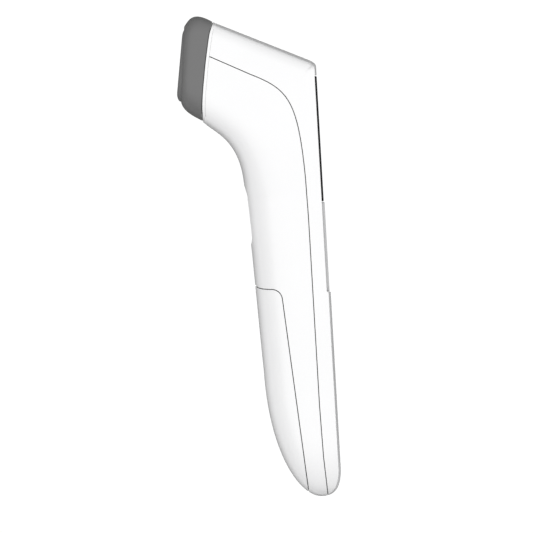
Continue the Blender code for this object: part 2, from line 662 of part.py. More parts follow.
def make_nose(looks):
    """Nose ring, collar, face plate and everything on the sensor's axis. Depths run inwards
    from the face plate's front, which is height 0 on the axis."""
    whole = body_stations() + nose_stations()
    face = (NOSE_X + 1.6 - 0.95, 0, HEAD_RISE - 15.2)
    axis = frame_at("sensor_axis", face, NOSE_TILT - math.pi / 2)

    hollow = make_object("nose_cavity", loft(whole, WALL))
    far = [(NOSE_X - 40, HEAD_RISE + 40), (NOSE_X - 40, 0)]
    ring_region = make_object("ring_region", prism(joint_line(-GAP) + far, -57, 57))
    mouth = make_object("mouth_cutter", plate_stack(
        [(GAP, -12), (GAP, 12)], FACE_HEIGHT, FACE_WIDTH), None, axis)
    ring = make_object("nose_ring", loft(whole), looks["grey"])
    boolean(ring, "DIFFERENCE", hollow)
    boolean(ring, "INTERSECT", ring_region)
    boolean(ring, "DIFFERENCE", mouth)

    band = list(reversed(joint_line(0))) + joint_line(COLLAR_SHOW)
    band_region = make_object("band_region", prism(band, -56, 56))
    sleeve = list(reversed(joint_line(-3.0))) + joint_line(COLLAR_SHOW + 3.5)
    sleeve_region = make_object("sleeve_region", prism(sleeve, -55, 55))
    inside = make_object("collar_inside", loft(whole, WALL + GAP + COLLAR_WALL))
    sleeve_form = make_object("sleeve_form", loft(whole, WALL + GAP))
    boolean(sleeve_form, "INTERSECT", sleeve_region)
    collar = make_object("collar_ring", loft(whole), looks["white"])
    boolean(collar, "INTERSECT", band_region)
    boolean(collar, "UNION", sleeve_form)
    boolean(collar, "DIFFERENCE", inside)

    rings = []
    for angle in np.linspace(0, math.pi / 2, 5):
        rings.append((-FACE_ROUND * (1 - math.sin(angle)), -FACE_ROUND_DEPTH * (1 - math.cos(angle))))
    rings.append((0, -FACE_THICK))
    plate = make_object("face_plate", plate_stack(rings, FACE_HEIGHT, FACE_WIDTH), looks["grey"], axis)
    for side in (-1, 1):
        post = make_object(f"face_post_{side}", rod(
            POST_R, -HOLDER_DEPTH + GAP, -1.5, "Z", (0, side * POST_Y, 0)), None, axis)
        bore = make_object(f"face_post_bore_{side}", rod(
            SCREW_R + GAP, -HOLDER_DEPTH - 1, -HOLDER_DEPTH + SCREW_LENGTH, "Z", (0, side * POST_Y, 0), 12),
            None, axis)
        boolean(plate, "UNION", post)
        boolean(plate, "DIFFERENCE", bore)
    throat = [(0, 1), (HORN_MOUTH_R + 3.0, 1), (HORN_MOUTH_R + GAP + HORN_WALL, -HORN_TOP),
              (HORN_MOUTH_R + GAP + HORN_WALL, -8), (0, -8)]
    boolean(plate, "DIFFERENCE", make_object("horn_hole", turned(throat, "Z", 32), None, axis))

    horn = [(HORN_MOUTH_R, -HORN_TOP), (HORN_MOUTH_R + HORN_WALL, -HORN_TOP),
            (HORN_MOUTH_R + HORN_WALL, -HORN_TOP - 1.6)]
    cone = bezier((HORN_MOUTH_R, -HORN_TOP), (HORN_MOUTH_R - 1.6, -5), (HORN_THROAT_R + 0.6, -8),
                  (HORN_THROAT_R, -HORN_END), 6)
    horn += [(r + HORN_WALL, z - 0.3) for r, z in cone[1:]] + [(HORN_THROAT_R + HORN_WALL, -HORN_END)]
    horn += [(HORN_THROAT_R, -HORN_END)] + list(reversed(cone[1:]))
    make_object("sensor_horn", turned(horn, "Z", 32), looks["chrome"], axis)

    depth = HORN_END + GAP
    ring_shape(looks["rubber"], "sensor_gasket", axis, HORN_THROAT_R + 0.3, BARREL_R - 0.6, depth, 0.8)
    depth += 0.8 + GAP
    filter_r = CAN_R - 0.9
    make_object("infrared_filter", rod(filter_r, -depth - 0.5, -depth, "Z"), looks["dark_glass"], axis)
    can_top = depth + 0.5 + GAP
    can = [(0, -can_top), (CAN_R - 0.4, -can_top), (CAN_R, -can_top - 0.4), (CAN_R, -can_top - 3.4),
           (CAN_R + 0.5, -can_top - 3.4), (CAN_R + 0.5, -can_top - 4.0), (0, -can_top - 4.0)]
    make_object("thermopile", turned(can, "Z", 24), looks["steel"], axis)
    barrel = [(filter_r + GAP, -depth), (BARREL_R, -depth), (BARREL_R, -can_top - 4.0),
              (CAN_R + 0.5 + GAP, -can_top - 4.0), (CAN_R + 0.5 + GAP, -can_top + GAP),
              (filter_r + GAP, -can_top + GAP)]
    make_object("sensor_barrel", turned(barrel, "Z", 28), looks["brass"], axis)
    board_top = can_top + 4.0 + GAP
    make_object("sensor_board", rod(BARREL_R, -board_top - 1.0, -board_top, "Z"), looks["board"], axis)

    reach = BARREL_R + GAP + HOLDER_WALL
    holder = [(BARREL_R + GAP, -depth + 1), (reach, -depth + 1), (reach, -HOLDER_DEPTH),
              (reach + 0.6, -HOLDER_DEPTH), (reach + 0.6, -HOLDER_DEPTH - 1.5), (BARREL_R + GAP, -HOLDER_DEPTH - 1.5)]
    holder = make_object("sensor_holder", turned(holder, "Z", 32), looks["black"], axis)
    ears = prism(pill(2 * (POST_Y + 2.6), 5.2, 2.5, 0), -HOLDER_DEPTH - 1.5, -HOLDER_DEPTH, "X")
    bmesh.ops.transform(ears, matrix=Matrix.Rotation(-math.pi / 2, 4, "Y"), verts=ears.verts)
    ears = make_object("holder_ears", ears, None, axis)
    well = make_object("holder_well", rod(BARREL_R + GAP, -HOLDER_DEPTH - 3, 0, "Z", steps=32), None, axis)
    boolean(holder, "UNION", ears)
    boolean(holder, "DIFFERENCE", well)
    for side, name in ((1, "left"), (-1, "right")):
        hole = make_object(f"ear_hole_{name}", rod(
            SCREW_R + GAP, -HOLDER_DEPTH - 5, 5 - HOLDER_DEPTH, "Z", (0, side * POST_Y, 0), 12), None, axis)
        boolean(holder, "DIFFERENCE", hole)
        screw(f"holder_screw_{name}", looks["steel"], axis, (0, side * POST_Y, -HOLDER_DEPTH - 1.5 - GAP), "Z", 1)
    return axis, board_top + 1.0


def plate_stack(rings, height, width):
    """Lofted superellipse plate: each ring has a growth and a height on the axis."""
    mesh = bmesh.new()
    made = []
    for grow, level in sorted(rings, key=lambda r: r[1]):
        outline = superellipse(height / 2 + grow, width / 2 + grow)
        made.append([mesh.verts.new((x, y, level)) for x, y in outline])
    for one, two in zip(made, made[1:]):
        for i in range(len(one)):
            j = (i + 1) % len(one)
            mesh.faces.new((one[i], one[j], two[j], two[i]))
    mesh.faces.new(list(reversed(made[0])))
    mesh.faces.new(made[-1])
    return mesh


def ring_shape(look, name, parent, inner, outer, depth, thick):
    profile = [(inner, -depth), (outer, -depth), (outer, -depth - thick), (inner, -depth - thick)]
    return make_object(name, turned(profile, "Z", 28), look, parent)


def screw(name, look, parent, at, axis, way):
    """Pan-head screw; its shank points along way on the axis, with its seat at the place."""
    profile = [(0, SCREW_LENGTH), (SCREW_R * 0.5, SCREW_LENGTH - 0.1), (SCREW_R, SCREW_LENGTH - 1.0), (SCREW_R, 0),
               (SCREW_HEAD_R, 0), (SCREW_HEAD_R, -SCREW_HEAD * 0.6), (SCREW_HEAD_R * 0.6, -SCREW_HEAD),
               (0, -SCREW_HEAD)]
    profile = [(r, way * h) for r, h in profile]
    mesh = turned(profile, axis, 14)
    bmesh.ops.translate(mesh, verts=mesh.verts, vec=at)
    return make_object(name, mesh, look, parent, at)


# ---------------------------------------------------------------- display and keys

def crowned(name, low, high, drop, look, outline):
    """Plate with the outline in (y, z) whose front is a drop below the back and follows its crown."""
    made = make_object(name, prism(outline, PLATE_BACK, BACK_X + 2, "X"), look)
    side = HEAD_WIDTH / 2
    arch = []
    for y in np.linspace(-side - 1, side + 1, 17):
        arch.append((y, BACK_X - drop - PLATE_CROWN * (max(0, abs(y) - LAND) / (side - LAND)) ** 2))
    cap = [(y, x) for y, x in arch] + [(side + 1, BACK_X + 9), (-side - 1, BACK_X + 9)]
    mesh = bmesh.new()
    face = mesh.faces.new([mesh.verts.new((x, y, low - 1)) for y, x in cap])
    raised = bmesh.ops.extrude_face_region(mesh, geom=[face])["geom"]
    tops = [v for v in raised if isinstance(v, bmesh.types.BMVert)]
    bmesh.ops.translate(mesh, verts=tops, vec=(0, 0, high - low + 2))
    boolean(made, "DIFFERENCE", make_object(f"{name}_crown", mesh))
    return made


def make_display(looks):
    lens = back_plate(LENS_LOW + GAP / 2, LENS_HIGH - GAP, PLATE_MARGIN, PLATE_CORNER - GAP)
    crowned("display_lens", LENS_LOW, LENS_HIGH, LENS_DROP, looks["lens"], lens)
    face = LCD_FRONT
    seal = prism(pill(WINDOW_WIDTH - 2 * GAP, WINDOW_HEIGHT - 2 * GAP, 1.7, LCD_Z, 3), face + GAP, PLATE_BACK - GAP, "X")
    seal = make_object("display_gasket", seal, looks["rubber"])
    hole = prism(pill(WINDOW_WIDTH - 3.0, WINDOW_HEIGHT - 3.0, 1, LCD_Z, 3), face - 1, PLATE_BACK + 1, "X")
    boolean(seal, "DIFFERENCE", make_object("gasket_cutter", hole))

    strip_high = 2.4
    wide = LCD_WIDTH / 2
    low = LCD_Z - LCD_HEIGHT / 2
    high = LCD_Z + LCD_HEIGHT / 2
    make_object("lcd_glass", box((face - LCD_THICK, -wide, low), (face, wide, high)), looks["lcd"])
    under = face - LCD_THICK - GAP
    make_object("contact_strip", box(
        (BOARD_X + GAP, 1 - wide, low + 0.4), (under, wide - 1, low + 0.4 + strip_high)), looks["rubber"])
    make_object("backlight_guide", box(
        (BOARD_X + GAP, 0.3 - wide, low + 0.4 + strip_high + GAP), (under, wide - 0.3, high)), looks["guide"])
    out = GAP + FRAME_WALL
    frame = make_object("lcd_frame", box(
        (BOARD_X + GAP, -wide - out, low - out), (face - GAP, wide + out, high + out)), looks["white_inner"])
    room = box((BOARD_X - 1, -wide - GAP, low - GAP), (face + 1, wide + GAP, high + GAP))
    boolean(frame, "DIFFERENCE", make_object("lcd_frame_cutter", room))


def make_controls(looks):
    outline = back_plate(PANEL_LOW + 2 * GAP, LENS_LOW - GAP / 2, PLATE_MARGIN, PLATE_CORNER - GAP)
    panel = crowned("control_panel", PANEL_LOW, LENS_LOW, PLATE_DROP, looks["panel"], outline)
    keys = [("mode", 0, MODE_KEY_Z, MODE_KEY_R), ("memory", -SMALL_KEY_Y, SMALL_KEY_Z, SMALL_KEY_R),
            ("sound", SMALL_KEY_Y, SMALL_KEY_Z, SMALL_KEY_R)]
    top = PLATE_X - KEY_SINK
    base = BOARD_X + GAP
    tip = base + SWITCH_THICK + 1.3
    for name, y, z, r in keys:
        spot = (0, y, z)
        hole = make_object(f"{name}_panel_hole", rod(r + GAP, PLATE_BACK - 3, BACK_X + 5, "X", spot, 28))
        boolean(panel, "DIFFERENCE", hole)
        low = PLATE_BACK - 1.0
        cap = [(0, tip + GAP), (1.4, tip + GAP), (1.4, low), (r - 0.2, low), (r, low + 0.2),
               (r, top - 0.5), (r - 0.5, top - 0.05), (r * 0.6, top), (0, top)]
        key = turned([(rad, x) for rad, x in cap], "X", 28, spot)
        make_object(f"{name}_button", key, looks["key"], None, (BOARD_X, y, z))
        switch(f"{name}_switch", f"{name}_plunger", looks, base, 1, y, z, tip)

    # Measuring button: its cap follows the rounded front, its post reaches the board
    front = at_height(front_outline(), BUTTON_Z)
    inner = front + WALL + 2.2
    switch_base = BOARD_X - BOARD_THICK - GAP
    trigger_tip = switch_base - SWITCH_THICK - 1.6
    cap = make_object("measure_button", prism(
        pill(BUTTON_WIDTH, BUTTON_HEIGHT, 4.7, BUTTON_Z), NOSE_X, inner + 0.4, "X"), looks["button"],
        None, (inner, 0, BUTTON_Z))
    skin = make_object("button_skin", loft(body_stations(), BUTTON_SINK))
    flange = make_object("button_flange", prism(pill(
        BUTTON_WIDTH + 2 * BUTTON_FLANGE, BUTTON_HEIGHT + 2 * BUTTON_FLANGE, 5, BUTTON_Z),
        inner, inner + 1.2, "X"))
    post = make_object("button_post", box(
        (inner + 0.5, -1.8, BUTTON_Z - 1.8), (trigger_tip - GAP, 1.8, BUTTON_Z + 1.8)))
    boolean(cap, "INTERSECT", skin)
    boolean(cap, "UNION", flange, post)
    switch("trigger_switch", "trigger_plunger", looks, switch_base, -1, 0, BUTTON_Z, trigger_tip)


def switch(name, plunger_name, looks, base, way, y, z, tip):
    """Square switch body with a round well, and the plunger that sinks into it."""
    half = SWITCH_SIDE / 2
    ends = sorted((base, base + way * SWITCH_THICK))
    body = make_object(name, box((ends[0], y - half, z - half), (ends[1], y + half, z + half)), looks["black"])
    floor = base + way * 0.5
    well = sorted((floor, base + way * (SWITCH_THICK + 2)))
    boolean(body, "DIFFERENCE", make_object(f"{name}_well", rod(PLUNGER_R + GAP, *well, "X", (0, y, z), 16)))
    travel = BUTTON_TRAVEL if way < 0 else KEY_TRAVEL
    stem = sorted((floor + way * min(travel + 0.15, SWITCH_THICK - 0.8), tip))
    make_object(plunger_name, rod(PLUNGER_R, *stem, "X", (0, y, z), 16), looks["key"], None, (base, y, z))


# ---------------------------------------------------------------- circuit board and what is on it

def make_electronics(looks, axis, board_depth):
    half = BOARD_WIDTH / 2
    board = make_object("main_board", box(
        (BOARD_X - BOARD_THICK, -half, BOARD_LOW), (BOARD_X, half, BOARD_HIGH)), looks["board"])
    for name, y, z in board_screw_places():
        hole = rod(SCREW_R + GAP, BOARD_X - 5, BOARD_X + 5, "X", (0, y, z), 14)
        boolean(board, "DIFFERENCE", make_object(f"board_hole_{name}", hole))
        seat = BOARD_X - BOARD_THICK - GAP
        screw(f"board_screw_{name}", looks["steel"], None, (seat, y, z), "X", 1)
    under = BOARD_X - BOARD_THICK - GAP
    chip_z = LCD_Z - 8.0
    make_object("controller_chip", box((under - 1.2, -4.5, chip_z - 4.5), (under, 4.5, chip_z + 4.5)), looks["black"])
    buzzer_z = chip_z + 12.5
    make_object("buzzer", turned(
        [(1.0, under - BUZZER_THICK + 1.0), (1.0, under - BUZZER_THICK), (BUZZER_R, under - BUZZER_THICK),
         (BUZZER_R, under), (0, under), (0, under - BUZZER_THICK + 1.0)], "X", 24, (0, 0, buzzer_z)), looks["black"])
    plug_z = BOARD_HIGH - 4.0
    make_object("ribbon_connector", box((under - 2.0, -4, plug_z - 1.5), (under, 4, plug_z + 1.5)), looks["white_inner"])

    turn = Matrix.Rotation(NOSE_TILT - math.pi / 2, 3, "Y")
    start = Vector(axis.location) / METRE + turn @ Vector((0, 0, -board_depth - GAP))
    away = turn @ Vector((0, 0, -1))
    plug = Vector((under - 2.0 - GAP, 0, plug_z))
    knots = [start, start + away * 2.5, start + away * 5 + Vector((0, 0, -2.0)), plug + Vector((-2.5, 0, 1.5)), plug]
    route = [(p.x, p.z) for p in through(knots, 4)]
    make_object("sensor_ribbon", prism(strip(route, 0.3), -2.5, 2.5), looks["ribbon"])


# ---------------------------------------------------------------- cells and contacts

def make_power(looks, bay):
    tip = [(0, 0), (CELL_TIP_R, 0), (CELL_TIP_R, -CELL_TIP), (CELL_R - 0.6, -CELL_TIP), (CELL_R, -CELL_TIP - 0.6),
           (CELL_R, -CELL_LENGTH + 0.6), (CELL_R - 0.6, -CELL_LENGTH), (0, -CELL_LENGTH)]
    first = CONTACT + 2 * GAP
    flipped = [(r, -CELL_LENGTH - h) for r, h in tip]
    for name, y, top, profile in (("left", CELL_Y, -first, tip), ("right", -CELL_Y, -first - SPRING - GAP, flipped)):
        mesh = turned([(r, h + top) for r, h in profile], "Z", 28, (0, y, 0))
        make_object(f"cell_{name}", mesh, looks["cell"], bay, (0, y, 0))
    plate = [(4.0, -GAP), (-3.9, -GAP), (-3.9, 3.0), (-4.3, 3.0), (-4.3, -GAP - CONTACT), (4.0, -GAP - CONTACT)]
    make_object("positive_contact", prism(plate, CELL_Y - 3.5, CELL_Y + 3.5), looks["steel"], bay)
    make_object("negative_contact", prism(plate, -CELL_Y - 3.5, 3.5 - CELL_Y), looks["steel"], bay)
    end = -BAY_LENGTH + GAP
    make_object("bridge_contact", box((-2.8, -CELL_Y - 3.2, end), (4.0, CELL_Y + 3.2, end + CONTACT)), looks["steel"], bay)
    springs = (("negative_spring", -CELL_Y, -first), ("bridge_spring", CELL_Y, end + CONTACT + GAP + SPRING))
    for name, y, top in springs:
        high = top - SPRING_WIRE
        low = top - SPRING + SPRING_WIRE
        turns = 2.5
        coil = []
        for t in np.linspace(0, 1, int(turns * 12) + 1):
            angle = t * turns * 2 * math.pi
            radius = 3.6 - 1.2 * t if name == "bridge_spring" else 2.4 + 1.2 * t
            coil.append((radius * math.cos(angle), y + radius * math.sin(angle), low + (high - low) * t))
        wire(name, coil, SPRING_WIRE, looks["steel"], bay, 1)
    turn = Matrix.Rotation(-DOOR_TILT, 3, "Y")
    under = BOARD_X - BOARD_THICK
    for name, side, look in (("lead_positive", 1, "red"), ("lead_negative", -1, "black")):
        start = Vector((BAY_X, 0, BAY_Z)) + turn @ Vector((-3.3, side * CELL_Y, 2.6))
        end = Vector((under - GAP - 0.6, side * 8.0, BOARD_LOW + 3.5))
        knots = [start, start + Vector((0.6, 0.3 * side, 1.6)), end + Vector((-2.2, -0.4 * side, 1.2)), end]
        wire(name, through(knots, 5), 0.5, looks[look], None, 2)
    for name, depth in housing_screw_places():
        screw(f"housing_screw_{name}", looks["steel"], bay, (CELL_R, 0, depth), "X", 1)


def main():
    for old in list(bpy.data.objects):
        bpy.data.objects.remove(old, do_unlink=True)
    looks = {
        "white": material("white_shell", (0.90, 0.90, 0.91), 0.35),
        "grey": material("grey_nose", (0.18, 0.18, 0.18), 0.45),
        "lens": material("lens_black", (0.01, 0.01, 0.012), 0.08),
        "panel": material("panel_grey", (0.62, 0.63, 0.64), 0.4),
        "key": material("key_grey", (0.75, 0.75, 0.76), 0.5),
        "button": material("button_white", (0.86, 0.86, 0.87), 0.45),
        "white_inner": material("inner_white", (0.8, 0.8, 0.78), 0.5),
        "black": material("black_plastic", (0.02, 0.02, 0.02), 0.5),
        "rubber": material("seal_rubber", (0.05, 0.05, 0.05), 0.8),
        "lcd": material("lcd_glass", (0.45, 0.5, 0.42), 0.1),
        "guide": material("guide_acrylic", (0.9, 0.92, 0.9), 0.2),
        "chrome": material("horn_chrome", (0.8, 0.8, 0.8), 0.1, 1.0),
        "steel": material("plated_steel", (0.6, 0.6, 0.6), 0.3, 1.0),
        "brass": material("brass", (0.7, 0.5, 0.2), 0.3, 1.0),
        "dark_glass": material("filter_glass", (0.05, 0.05, 0.07), 0.05),
        "board": material("board_green", (0.02, 0.2, 0.08), 0.4),
        "ribbon": material("ribbon_amber", (0.5, 0.25, 0.05), 0.4),
        "cell": material("cell_jacket", (0.1, 0.12, 0.3), 0.35),
        "red": material("lead_red", (0.6, 0.02, 0.02), 0.5),
    }
    bay = make_housings(looks)
    axis, board_depth = make_nose(looks)
    make_display(looks)
    make_controls(looks)
    make_electronics(looks, axis, board_depth)
    make_power(looks, bay)


main()
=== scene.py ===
"""Finished look of a hand-held infrared forehead thermometer, laid out as a Blender add-on.

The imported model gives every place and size. The outer pieces are rebuilt here with fine
surfaces on the same rules, and the inner ones keep their shape and get worked materials.
"""

import math

import bmesh
import bpy
import numpy as np
from mathutils import Matrix, Vector


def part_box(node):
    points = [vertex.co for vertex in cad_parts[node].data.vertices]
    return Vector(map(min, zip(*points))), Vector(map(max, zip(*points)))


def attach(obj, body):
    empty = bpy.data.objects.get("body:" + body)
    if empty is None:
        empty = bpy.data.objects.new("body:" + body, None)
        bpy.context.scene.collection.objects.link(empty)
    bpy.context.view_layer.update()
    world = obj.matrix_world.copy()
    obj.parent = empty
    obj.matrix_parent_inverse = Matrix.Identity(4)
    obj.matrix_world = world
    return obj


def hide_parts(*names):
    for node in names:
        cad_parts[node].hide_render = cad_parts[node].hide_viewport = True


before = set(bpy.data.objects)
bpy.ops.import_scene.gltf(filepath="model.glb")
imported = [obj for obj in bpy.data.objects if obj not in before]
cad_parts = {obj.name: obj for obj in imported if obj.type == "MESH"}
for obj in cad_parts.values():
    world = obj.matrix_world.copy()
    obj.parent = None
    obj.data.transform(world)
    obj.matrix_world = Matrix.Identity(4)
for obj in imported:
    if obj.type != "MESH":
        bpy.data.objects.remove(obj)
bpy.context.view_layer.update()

bl_info = {
    "name": "Infrared thermometer",
    "version": (1, 0, 0),
    "blender": (4, 5, 0),
    "location": "3D View > Sidebar > Thermometer",
    "description": "Finished pieces of a hand-held infrared thermometer and a plain studio",
    "category": "Object",
}

MM = 0.001

# Outer form, in millimetres: the same sizes as the engineering model
TAIL_Z = -57.0
HEAD_RISE = 100.0
BACK_X = 12.0
NOSE_X = -33.2
TAIL_X = BACK_X - 6.4
CHIN_Z = HEAD_RISE - 54.5
SHELF_Z = HEAD_RISE - 15.8
CREST_Z = SHELF_Z - 1.4
LOWER_WIDTH = 33.0
GRIP_WIDTH = 36.0
HEAD_WIDTH = 42.0
NOSE_WIDTH = 40.0
GRIP_DEPTH = 26.0
LOWER_DEPTH = 23.0
TAIL_CURVE = 41.0
TAIL_ROUND = 24.0
FRONT_ROUND = 14.0
TOP_FILLET = 4.0
BACK_FILLET = 0.4
BACK_CROWN = 0.7
PLATE_CROWN = 0.1
LAND = 6.0
TOP_SLOPE = math.radians(24.8)
NOSE_TILT = math.radians(8.3)
WALL = 1.8
PLATE_DROP = 0.35
LENS_DROP = 0.58
RIM_DROP = 1.25
FACE_HEIGHT = 24.0
FACE_WIDTH = 30.0
FACE_ROUND = 3.0
FACE_ROUND_DEPTH = 1.5
COLLAR_SHOW = 0.9
NOSE_GAP = 0.3
DOOR_TILT = math.radians(4.55)
DOOR_CORNER = 3.5
LIP = 1.2
# Depth of the dark strip in each seam gap, which paints shade there
SEAM_SHADOW_DEPTH = 0.35
LIP_DEPTH = 1.15
PLATE_MARGIN = 1.3
NOSE_STEPS = 26
SHARP = math.radians(32)
BUTTON_WIDTH = 13.0
BUTTON_HEIGHT = 18.3
BUTTON_ROUND = 4.7
BUTTON_GAP = 0.2
KEY_GAP = 0.2
KEY_BEVEL = 0.35
KEY_ROUND = 0.55
SCREW_MIDDLE = 1.75  # from the seat of a screw's head to the middle of its length
VIEW_AIM = Vector((-0.00824, 0, 0.01802))
VIEW_LEAN = math.radians(3.2624)
JOINT_FOOT = (6.7, -33.7)
JOINT_HEAD = (11.9, -2.0)
FAN = Vector((NOSE_X + 2.2, HEAD_RISE - 60.0))


def corner_of(node):
    """Lowest and highest corner of a node in millimetres."""
    low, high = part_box(node)
    return Vector(low) / MM, Vector(high) / MM


def centre_of(node):
    low, high = corner_of(node)
    return (low + high) / 2


LENS_LOW = corner_of("display_lens")[0].z - 0.15
LENS_HIGH = corner_of("display_lens")[1].z + 0.3
PANEL_LOW = corner_of("control_panel")[0].z - 0.6
PLATE_BACK = corner_of("display_lens")[0].x
PLATE_X = BACK_X - PLATE_DROP
DOOR_Z = TAIL_Z + 68.1
FACING_BACK = Matrix.Rotation(math.pi / 2, 4, "Y")


# ---------------------------------------------------------------- settings

def amount(name, description, default, **limits):
    return bpy.props.FloatProperty(name=name, description=description, default=default, **limits)


def colour(name, description, default):
    return bpy.props.FloatVectorProperty(
        name=name, description=description, default=default, subtype="COLOR", size=3)


class ThermometerSizes(bpy.types.PropertyGroup):
    seam: amount("Seam", "Gap that shows between two shells", 0.0003, min=0.00005, unit="LENGTH")
    collar_seam: amount("Collar seam", "Gap between the collar and the shells behind it", 0.00005,
                        min=0.00002, unit="LENGTH")
    plate_round: amount("Plate edge", "Rounding of the lens and panel edges", 0.0002, unit="LENGTH")
    key_dish: amount("Key dish", "Depth of the hollow for the fingertip in a key", 0.00025, unit="LENGTH")
    fineness: bpy.props.IntProperty(
        name="Fineness", description="Points round half of each section", default=46, min=12, max=90)


class ThermometerFinishes(bpy.types.PropertyGroup):
    shell: colour("Shell", "White moulded shell", (0.92, 0.92, 0.925))
    nose: colour("Nose", "Grey of the nose ring and face plate", (0.162, 0.162, 0.162))
    lens: colour("Lens", "Black border of the display lens", (0.006, 0.006, 0.007))
    panel: colour("Panel", "Control panel round the keys", (0.50, 0.50, 0.505))
    keys: colour("Keys", "Rubber keys", (0.30, 0.31, 0.33))
    board: colour("Boards", "Solder mask of the circuit boards", (0.015, 0.16, 0.06))


class ThermometerStudio(bpy.types.PropertyGroup):
    backdrop: amount("Backdrop", "Brightness of the white surroundings as seen", 1.05, min=0)
    front: amount("Front", "Light from the surroundings in front", 1.42, min=0)
    behind: amount("Behind", "Light from the surroundings behind", 1.2, min=0)
    flags: amount("Flags", "Share of the light behind that reflections don't see", 1.0, min=0, max=1)
    above: amount("Above", "Share of the light that is left straight above", 0.5, min=0, max=1)
    below: amount("Below", "Share of the light that is left straight below", 0.7, min=0, max=1)
    far_power: amount("Far light", "Power of the softbox on the far side", 2.5, min=0, unit="POWER")
    frame_width: amount("Frame width", "Width of the view at the object", 0.1721, unit="LENGTH")


BRIGHT_SIDE = Vector((0.25, -0.95, 0.15)).normalized()


# ---------------------------------------------------------------- materials

def arithmetic(operation):
    def applied(self, *others):
        return self.look.node("Math", {"operation": operation}, dict(enumerate((self, *others))))
    return applied


class Value:
    """A shader output that takes arithmetic."""

    def __init__(self, look, socket):
        self.look = look
        self.socket = socket

    __add__ = __radd__ = arithmetic("ADD")
    __mul__ = __rmul__ = arithmetic("MULTIPLY")
    __sub__ = arithmetic("SUBTRACT")
    __abs__ = arithmetic("ABSOLUTE")
    most = arithmetic("MAXIMUM")
    sine = arithmetic("SINE")

    def __rsub__(self, other):
        return self.look.node("Math", {"operation": "SUBTRACT"}, {0: other, 1: self})

    def ramp(self, low, high):
        """0 below low, 1 above high, smooth between."""
        return self.look.node("MapRange", {"interpolation_type": "SMOOTHSTEP"},
                              {"Value": self, "From Min": low, "From Max": high})


class Shading:
    """A node tree being made, for a surface or for the surroundings."""

    def __init__(self, tree):
        self.tree = tree

    def node(self, kind, settings=None, inputs=None, out=0):
        made = self.tree.nodes.new("ShaderNode" + kind)
        for key, value in (settings or {}).items():
            setattr(made, key, value)
        for key, value in (inputs or {}).items():
            if isinstance(value, Value):
                self.tree.links.new(value.socket, made.inputs[key])
            elif isinstance(value, (tuple, list)) and len(value) == 3 and made.inputs[key].type == "RGBA":
                made.inputs[key].default_value = (*value, 1)
            else:
                made.inputs[key].default_value = value
        return None if out is None else Value(self, made.outputs[out])

    def parts(self, vector):
        """The three numbers of a vector."""
        outputs = self.node("SeparateXYZ", {}, {"Vector": vector}).socket.node.outputs
        return tuple(Value(self, outputs[i]) for i in range(3))


class Look(Shading):
    """A material being made: its tree, its shader and its object coordinates."""

    def __init__(self, name, **fixed):
        self.material = bpy.data.materials.new(name)
        self.material.use_nodes = True
        super().__init__(self.material.node_tree)
        self.shader = self.tree.nodes["Principled BSDF"]
        self.place = self.node("TexCoord", {}, {}, "Object")
        for name, value in fixed.items():
            self.shader.inputs[name.replace("_", " ").title().replace("Ior", "IOR")].default_value = value

    def noise(self, size, detail=2.0, rough=0.5, stretch=(1, 1, 1)):
        """Noise from 0 to 1 whose features are about size metres across."""
        vector = self.place
        if stretch != (1, 1, 1):
            vector = self.node("Mapping", {}, {"Vector": vector, "Scale": stretch})
        inputs = {"Vector": vector, "Scale": 1 / size, "Detail": detail, "Roughness": rough}
        return self.node("TexNoise", {}, inputs)

    def axes(self):
        """Object coordinates as three values, in metres."""
        return self.parts(self.place)

    def blend(self, factor, one, two):
        return self.node("Mix", {"data_type": "RGBA"}, {0: factor, 6: one, 7: two}, 2)

    def bump(self, height, depth):
        """Normal from a height of 0 to 1 that stands for depth metres."""
        return self.node("Bump", {}, {"Height": height, "Distance": depth, "Strength": 1.0}, "Normal")

    def set(self, **wanted):
        """Sets or links inputs of the shader and gives the finished material."""
        for name, value in wanted.items():
            socket = self.shader.inputs[name.replace("_", " ").title()]
            if isinstance(value, Value):
                self.tree.links.new(value.socket, socket)
            else:
                socket.default_value = (*value, 1) if socket.type == "RGBA" else value
        return self.material


def shade(colour, factor):
    return tuple(min(1.0, c * factor) for c in colour)


def moulded(name, colour, roughness=0.4, grain=0.00035, depth=0.000012, coat=0.0):
    """Moulded plastic: fine spark-eroded grain, slight cloudiness and uneven gloss."""
    look = Look(name, coat_weight=coat, coat_roughness=0.2)
    cloud = look.noise(0.018, 3)
    fine = look.noise(grain, 3, 0.6)
    tone = look.blend(cloud, shade(colour, 0.985), shade(colour, 1.015))
    gloss = cloud * 0.06 + fine * 0.08 + (roughness - 0.07)
    return look.set(base_color=tone, roughness=gloss, normal=look.bump(fine, depth))


def metal(name, colour, roughness=0.25, along=(1, 1, 1), grain=0.0006):
    """Metal with drawn or turned marks."""
    look = Look(name, metallic=1.0)
    marks = look.noise(grain, 4, 0.65, along)
    stain = look.noise(0.004, 2)
    tone = look.blend(stain, shade(colour, 0.88), colour)
    return look.set(base_color=tone, roughness=marks * 0.16 + (roughness - 0.08),
                    normal=look.bump(marks, 0.00001))


def rubber(name, colour):
    look = Look(name)
    fine = look.noise(0.00025, 4, 0.7)
    dust = look.noise(0.003, 3)
    tone = look.blend(dust * 0.6, colour, shade(colour, 1.6))
    return look.set(base_color=tone, roughness=fine * 0.15 + 0.62,
                    normal=look.bump(fine, 0.00003))


